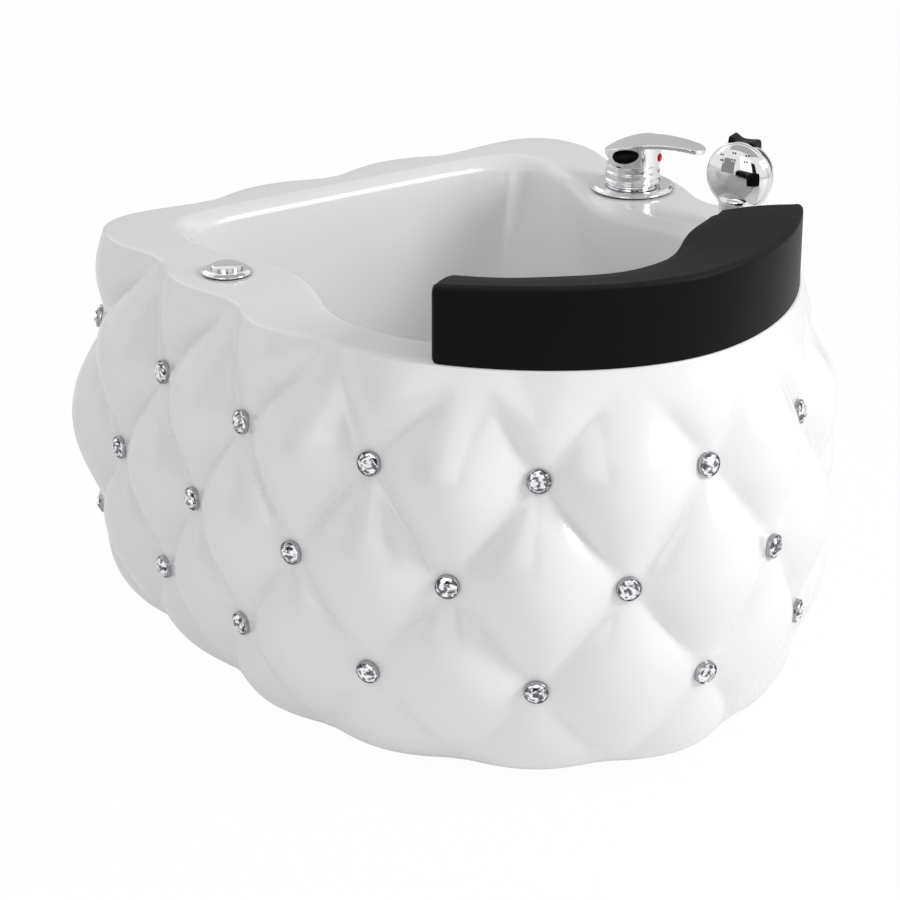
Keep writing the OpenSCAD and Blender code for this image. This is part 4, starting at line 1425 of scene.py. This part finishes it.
class FOOTBASIN_OT_air_button(bpy.types.Operator):
    """Model the air button's flanged body and its cap"""

    bl_idname = "footbasin.air_button"
    bl_label = "Air button"

    flange_r = 21.5
    cap_r = 13.1
    cap_gap = 0.35
    barrel_r = 15.5
    spout_r = 2.6
    top = 4.5
    rise = 3.5

    def execute(self, context):
        place = on_deck("air_button_gasket")
        fitted(self.body(), place, "chrome", "air_button_body")
        fitted(self.cap(), place, "chrome", "air_button_cap")
        return {"FINISHED"}

    def body(self):
        """The cup with its spout for the air line, and the flange on the deck."""
        bore, r, top = self.cap_r + self.cap_gap, self.flange_r, self.top
        cup = [(bore, -30), (1.2, -30), (1.2, -46), (self.spout_r, -46), (self.spout_r, -34)]
        barrel = [(self.barrel_r, -34), (self.barrel_r, GASKET_T)]
        flange = [(r, GASKET_T), (r, 2.6), (r - 2.6, top - 0.4), (r - 4, top), (bore, top)]
        outline = softened(cup + barrel + flange, 0.7, closed=True)
        return turned("air_button_flange", outline, closed=True)

    def cap(self):
        r, top = self.cap_r, self.top + self.rise
        under = [(0, top - 2.5), (r - 2, top - 2.5), (r - 2, -3), (r, -3)]
        return turned("air_button_dome", softened(under + [(r, top - 0.3), (0, top + 0.3)], 1.1))


class FOOTBASIN_OT_drain(bpy.types.Operator):
    """Model the drain's plug"""

    bl_idname = "footbasin.drain"
    bl_label = "Drain plug"

    stem_r = 2
    plug_r = 27
    seat = 3.7

    def execute(self, context):
        centre = middle("drain_gasket")
        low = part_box("drain_gasket")[0].z
        place = Matrix.Translation((centre.x, centre.y, low)) @ IN_MM
        r, seat = self.plug_r, self.seat
        stem = [(0, -16), (self.stem_r, -16), (self.stem_r, seat + 1.5)]
        disc = [(r, seat + 1.5), (r, seat + 2.8), (r - 1.8, seat + 4.2), (12, seat + 5),
                (0, seat + 5.3)]
        plug = turned("drain_plug_turned", softened(stem + disc, 0.8))
        fitted(plug, place, "chrome", "drain_plug")
        return {"FINISHED"}


class FOOTBASIN_OT_finishes(bpy.types.Operator):
    """Give every packed node that still shows the finish of its slot"""

    bl_idname = "footbasin.finishes"
    bl_label = "Finishes"

    def execute(self, context):
        slots = {part["node"]: part["material_slot"] for part in frame["record"]["subparts"]}
        for name, node in frame["nodes"].items():
            node.data.materials.clear()
            node.data.materials.append(finish(slots[name]))
        return {"FINISHED"}


# ---- operators: the studio -----------------------------------------------------------
class FOOTBASIN_OT_studio(bpy.types.Operator):
    """Set the floor, the lamps, the cards that the chrome mirrors, and the camera"""

    bl_idname = "footbasin.studio"
    bl_label = "Studio"

    aim = (-0.0983, -0.0754, 0.2461)
    floor_size = 14
    floor_colour = (0.93, 0.93, 0.93, 1)
    # how much of the white the camera and the mirrors see in the floor
    floor_white = 0.97
    floor_mirrored = 0.3
    # name, place, size, brightness
    lamps = (
        ("key_lamp", (1.4, -2.0, 1.6), (0.8, 1.0), 38),
        ("fill_lamp", (-2.0, -1.4, 1.3), (1.2, 1.6), 7),
        ("back_lamp", (-0.4, 2.4, 1.9), (2.0, 1.0), 5),
    )
    # name, place, size, shade
    cards = (
        ("camera_card", (-1.75, -2.6, 0.7), (0.75, 2.4), 0.02),
        ("ceiling_card", (0.2, 0.0, 2.6), (3.2, 3.2), 0.5),
        ("left_card", (-3.0, 0.2, 0.6), (1.4, 1.9), 0.3),
        ("right_card", (2.9, 0.9, 0.6), (1.0, 1.9), 0.12),
        ("far_card", (1.6, 2.6, 0.9), (3.2, 1.8), 0.6),
    )

    def execute(self, context):
        self.floor()
        self.room(context.scene.basin_studio.level)
        for name, place, size, watts in self.lamps:
            self.lamp(name, place, size, watts)
        for name, place, size, shade in self.cards:
            self.card(name, place, size, shade)
        self.camera(context)
        context.scene.view_settings.view_transform = "Standard"
        return {"FINISHED"}

    def maths(self, tree, operation, first, second):
        """Adds a Math node on two sockets, or on a socket and a number."""
        node = tree.nodes.new("ShaderNodeMath")
        node.operation = operation
        tree.links.new(first, node.inputs[0])
        if isinstance(second, float):
            node.inputs[1].default_value = second
        else:
            tree.links.new(second, node.inputs[1])
        return node.outputs[0]

    def seen_white(self, tree, light, white, direct=1.0, mirrored=1.0):
        """Shows white to the camera and to mirrors, in shares, over what lights the object."""
        path = tree.nodes.new("ShaderNodeLightPath").outputs
        camera = self.maths(tree, "MULTIPLY", path["Is Camera Ray"], direct)
        glass = self.maths(tree, "MAXIMUM", path["Is Glossy Ray"], path["Is Transmission Ray"])
        mirror = self.maths(tree, "MULTIPLY", glass, mirrored)
        mix = tree.nodes.new("ShaderNodeMixShader")
        tree.links.new(self.maths(tree, "MAXIMUM", camera, mirror), mix.inputs[0])
        tree.links.new(light.outputs[0], mix.inputs[1])
        tree.links.new(white.outputs[0], mix.inputs[2])
        return mix.outputs[0]

    def floor(self):
        deselect()
        bpy.ops.mesh.primitive_plane_add(size=self.floor_size)
        floor = named("floor")
        material = bpy.data.materials.new("floor_white")
        material.use_nodes = True
        tree = material.node_tree
        diffuse = tree.nodes["Principled BSDF"]
        diffuse.inputs["Base Color"].default_value = self.floor_colour
        diffuse.inputs["Roughness"].default_value = 0.9
        white = tree.nodes.new("ShaderNodeEmission")
        shown = self.seen_white(tree, diffuse, white, self.floor_white, self.floor_mirrored)
        tree.links.new(shown, tree.nodes["Material Output"].inputs["Surface"])
        floor.data.materials.append(material)

    def room(self, level):
        world = bpy.data.worlds.new("studio_room")
        world.use_nodes = True
        bpy.context.scene.world = world
        tree = world.node_tree
        light = tree.nodes["Background"]
        white = tree.nodes.new("ShaderNodeBackground")
        for background, strength in ((light, level), (white, 1)):
            background.inputs["Color"].default_value = (1, 1, 1, 1)
            background.inputs["Strength"].default_value = strength
        shown = self.seen_white(tree, light, white)
        tree.links.new(shown, tree.nodes["World Output"].inputs["Surface"])

    def facing(self, place):
        """The turn of a lamp or card that looks at the basin."""
        return (Vector(self.aim) - Vector(place)).to_track_quat("-Z", "Y").to_euler()

    def lamp(self, name, place, size, watts):
        deselect()
        bpy.ops.object.light_add(type="AREA", location=place, rotation=self.facing(place))
        lamp = named(name)
        lamp.data.shape = "RECTANGLE"
        lamp.data.size, lamp.data.size_y = size
        lamp.data.energy = watts

    def card(self, name, place, size, shade):
        """A card that only mirrors see."""
        deselect()
        bpy.ops.mesh.primitive_plane_add(size=1, location=place, rotation=self.facing(place))
        card = named(name)
        card.scale = (*size, 1)
        material = bpy.data.materials.new(name + "_shade")
        material.use_nodes = True
        tree = material.node_tree
        glow = tree.nodes.new("ShaderNodeEmission")
        glow.inputs["Color"].default_value = (shade, shade, shade, 1)
        tree.links.new(glow.outputs[0], tree.nodes["Material Output"].inputs["Surface"])
        card.data.materials.append(material)
        card.visible_camera = card.visible_diffuse = card.visible_shadow = False

    def camera(self, context):
        sizes = context.scene.basin_studio
        out = Vector((
            math.sin(sizes.azimuth) * math.cos(sizes.elevation),
            -math.cos(sizes.azimuth) * math.cos(sizes.elevation),
            math.sin(sizes.elevation),
        ))
        place = Vector(self.aim) + out * sizes.distance
        deselect()
        turn = (-out).to_track_quat("-Z", "Y").to_euler()
        bpy.ops.object.camera_add(location=place, rotation=turn)
        camera = named("camera")
        camera.data.sensor_width = 36
        camera.data.lens = sizes.lens
        context.scene.camera = camera


class FOOTBASIN_PT_pieces(bpy.types.Panel):
    """Lists the pieces of the foot basin"""

    bl_label = "Foot Basin"
    bl_space_type = "VIEW_3D"
    bl_region_type = "UI"
    bl_category = "Foot Basin"

    def draw(self, context):
        for operator in PIECES:
            self.layout.operator(operator.bl_idname)
        for name, group in SETTINGS.items():
            column = self.layout.column(heading=group.__doc__)
            for setting in group.__annotations__:
                column.prop(getattr(context.scene, name), setting)


PIECES = (
    FOOTBASIN_OT_shell,
    FOOTBASIN_OT_basin,
    FOOTBASIN_OT_crystals,
    FOOTBASIN_OT_leg_rest,
    FOOTBASIN_OT_mixer,
    FOOTBASIN_OT_handset,
    FOOTBASIN_OT_air_button,
    FOOTBASIN_OT_drain,
    FOOTBASIN_OT_finishes,
    FOOTBASIN_OT_studio,
)


def register():
    for group in SETTINGS.values():
        bpy.utils.register_class(group)
    for operator in PIECES:
        bpy.utils.register_class(operator)
    bpy.utils.register_class(FOOTBASIN_PT_pieces)
    for name, group in SETTINGS.items():
        setattr(bpy.types.Scene, name, PointerProperty(type=group))


def unregister():
    for name in SETTINGS:
        delattr(bpy.types.Scene, name)
    bpy.utils.unregister_class(FOOTBASIN_PT_pieces)
    for operator in reversed(PIECES):
        bpy.utils.unregister_class(operator)
    for group in reversed(SETTINGS.values()):
        bpy.utils.unregister_class(group)


def main():
    register()
    bpy.ops.footbasin.shell()
    bpy.ops.footbasin.basin()
    bpy.ops.footbasin.crystals()
    bpy.ops.footbasin.leg_rest()
    bpy.ops.footbasin.mixer()
    bpy.ops.footbasin.handset()
    bpy.ops.footbasin.air_button()
    bpy.ops.footbasin.drain()
    bpy.ops.footbasin.finishes()
    bpy.ops.footbasin.studio()


if __name__ == "__main__":
    main()
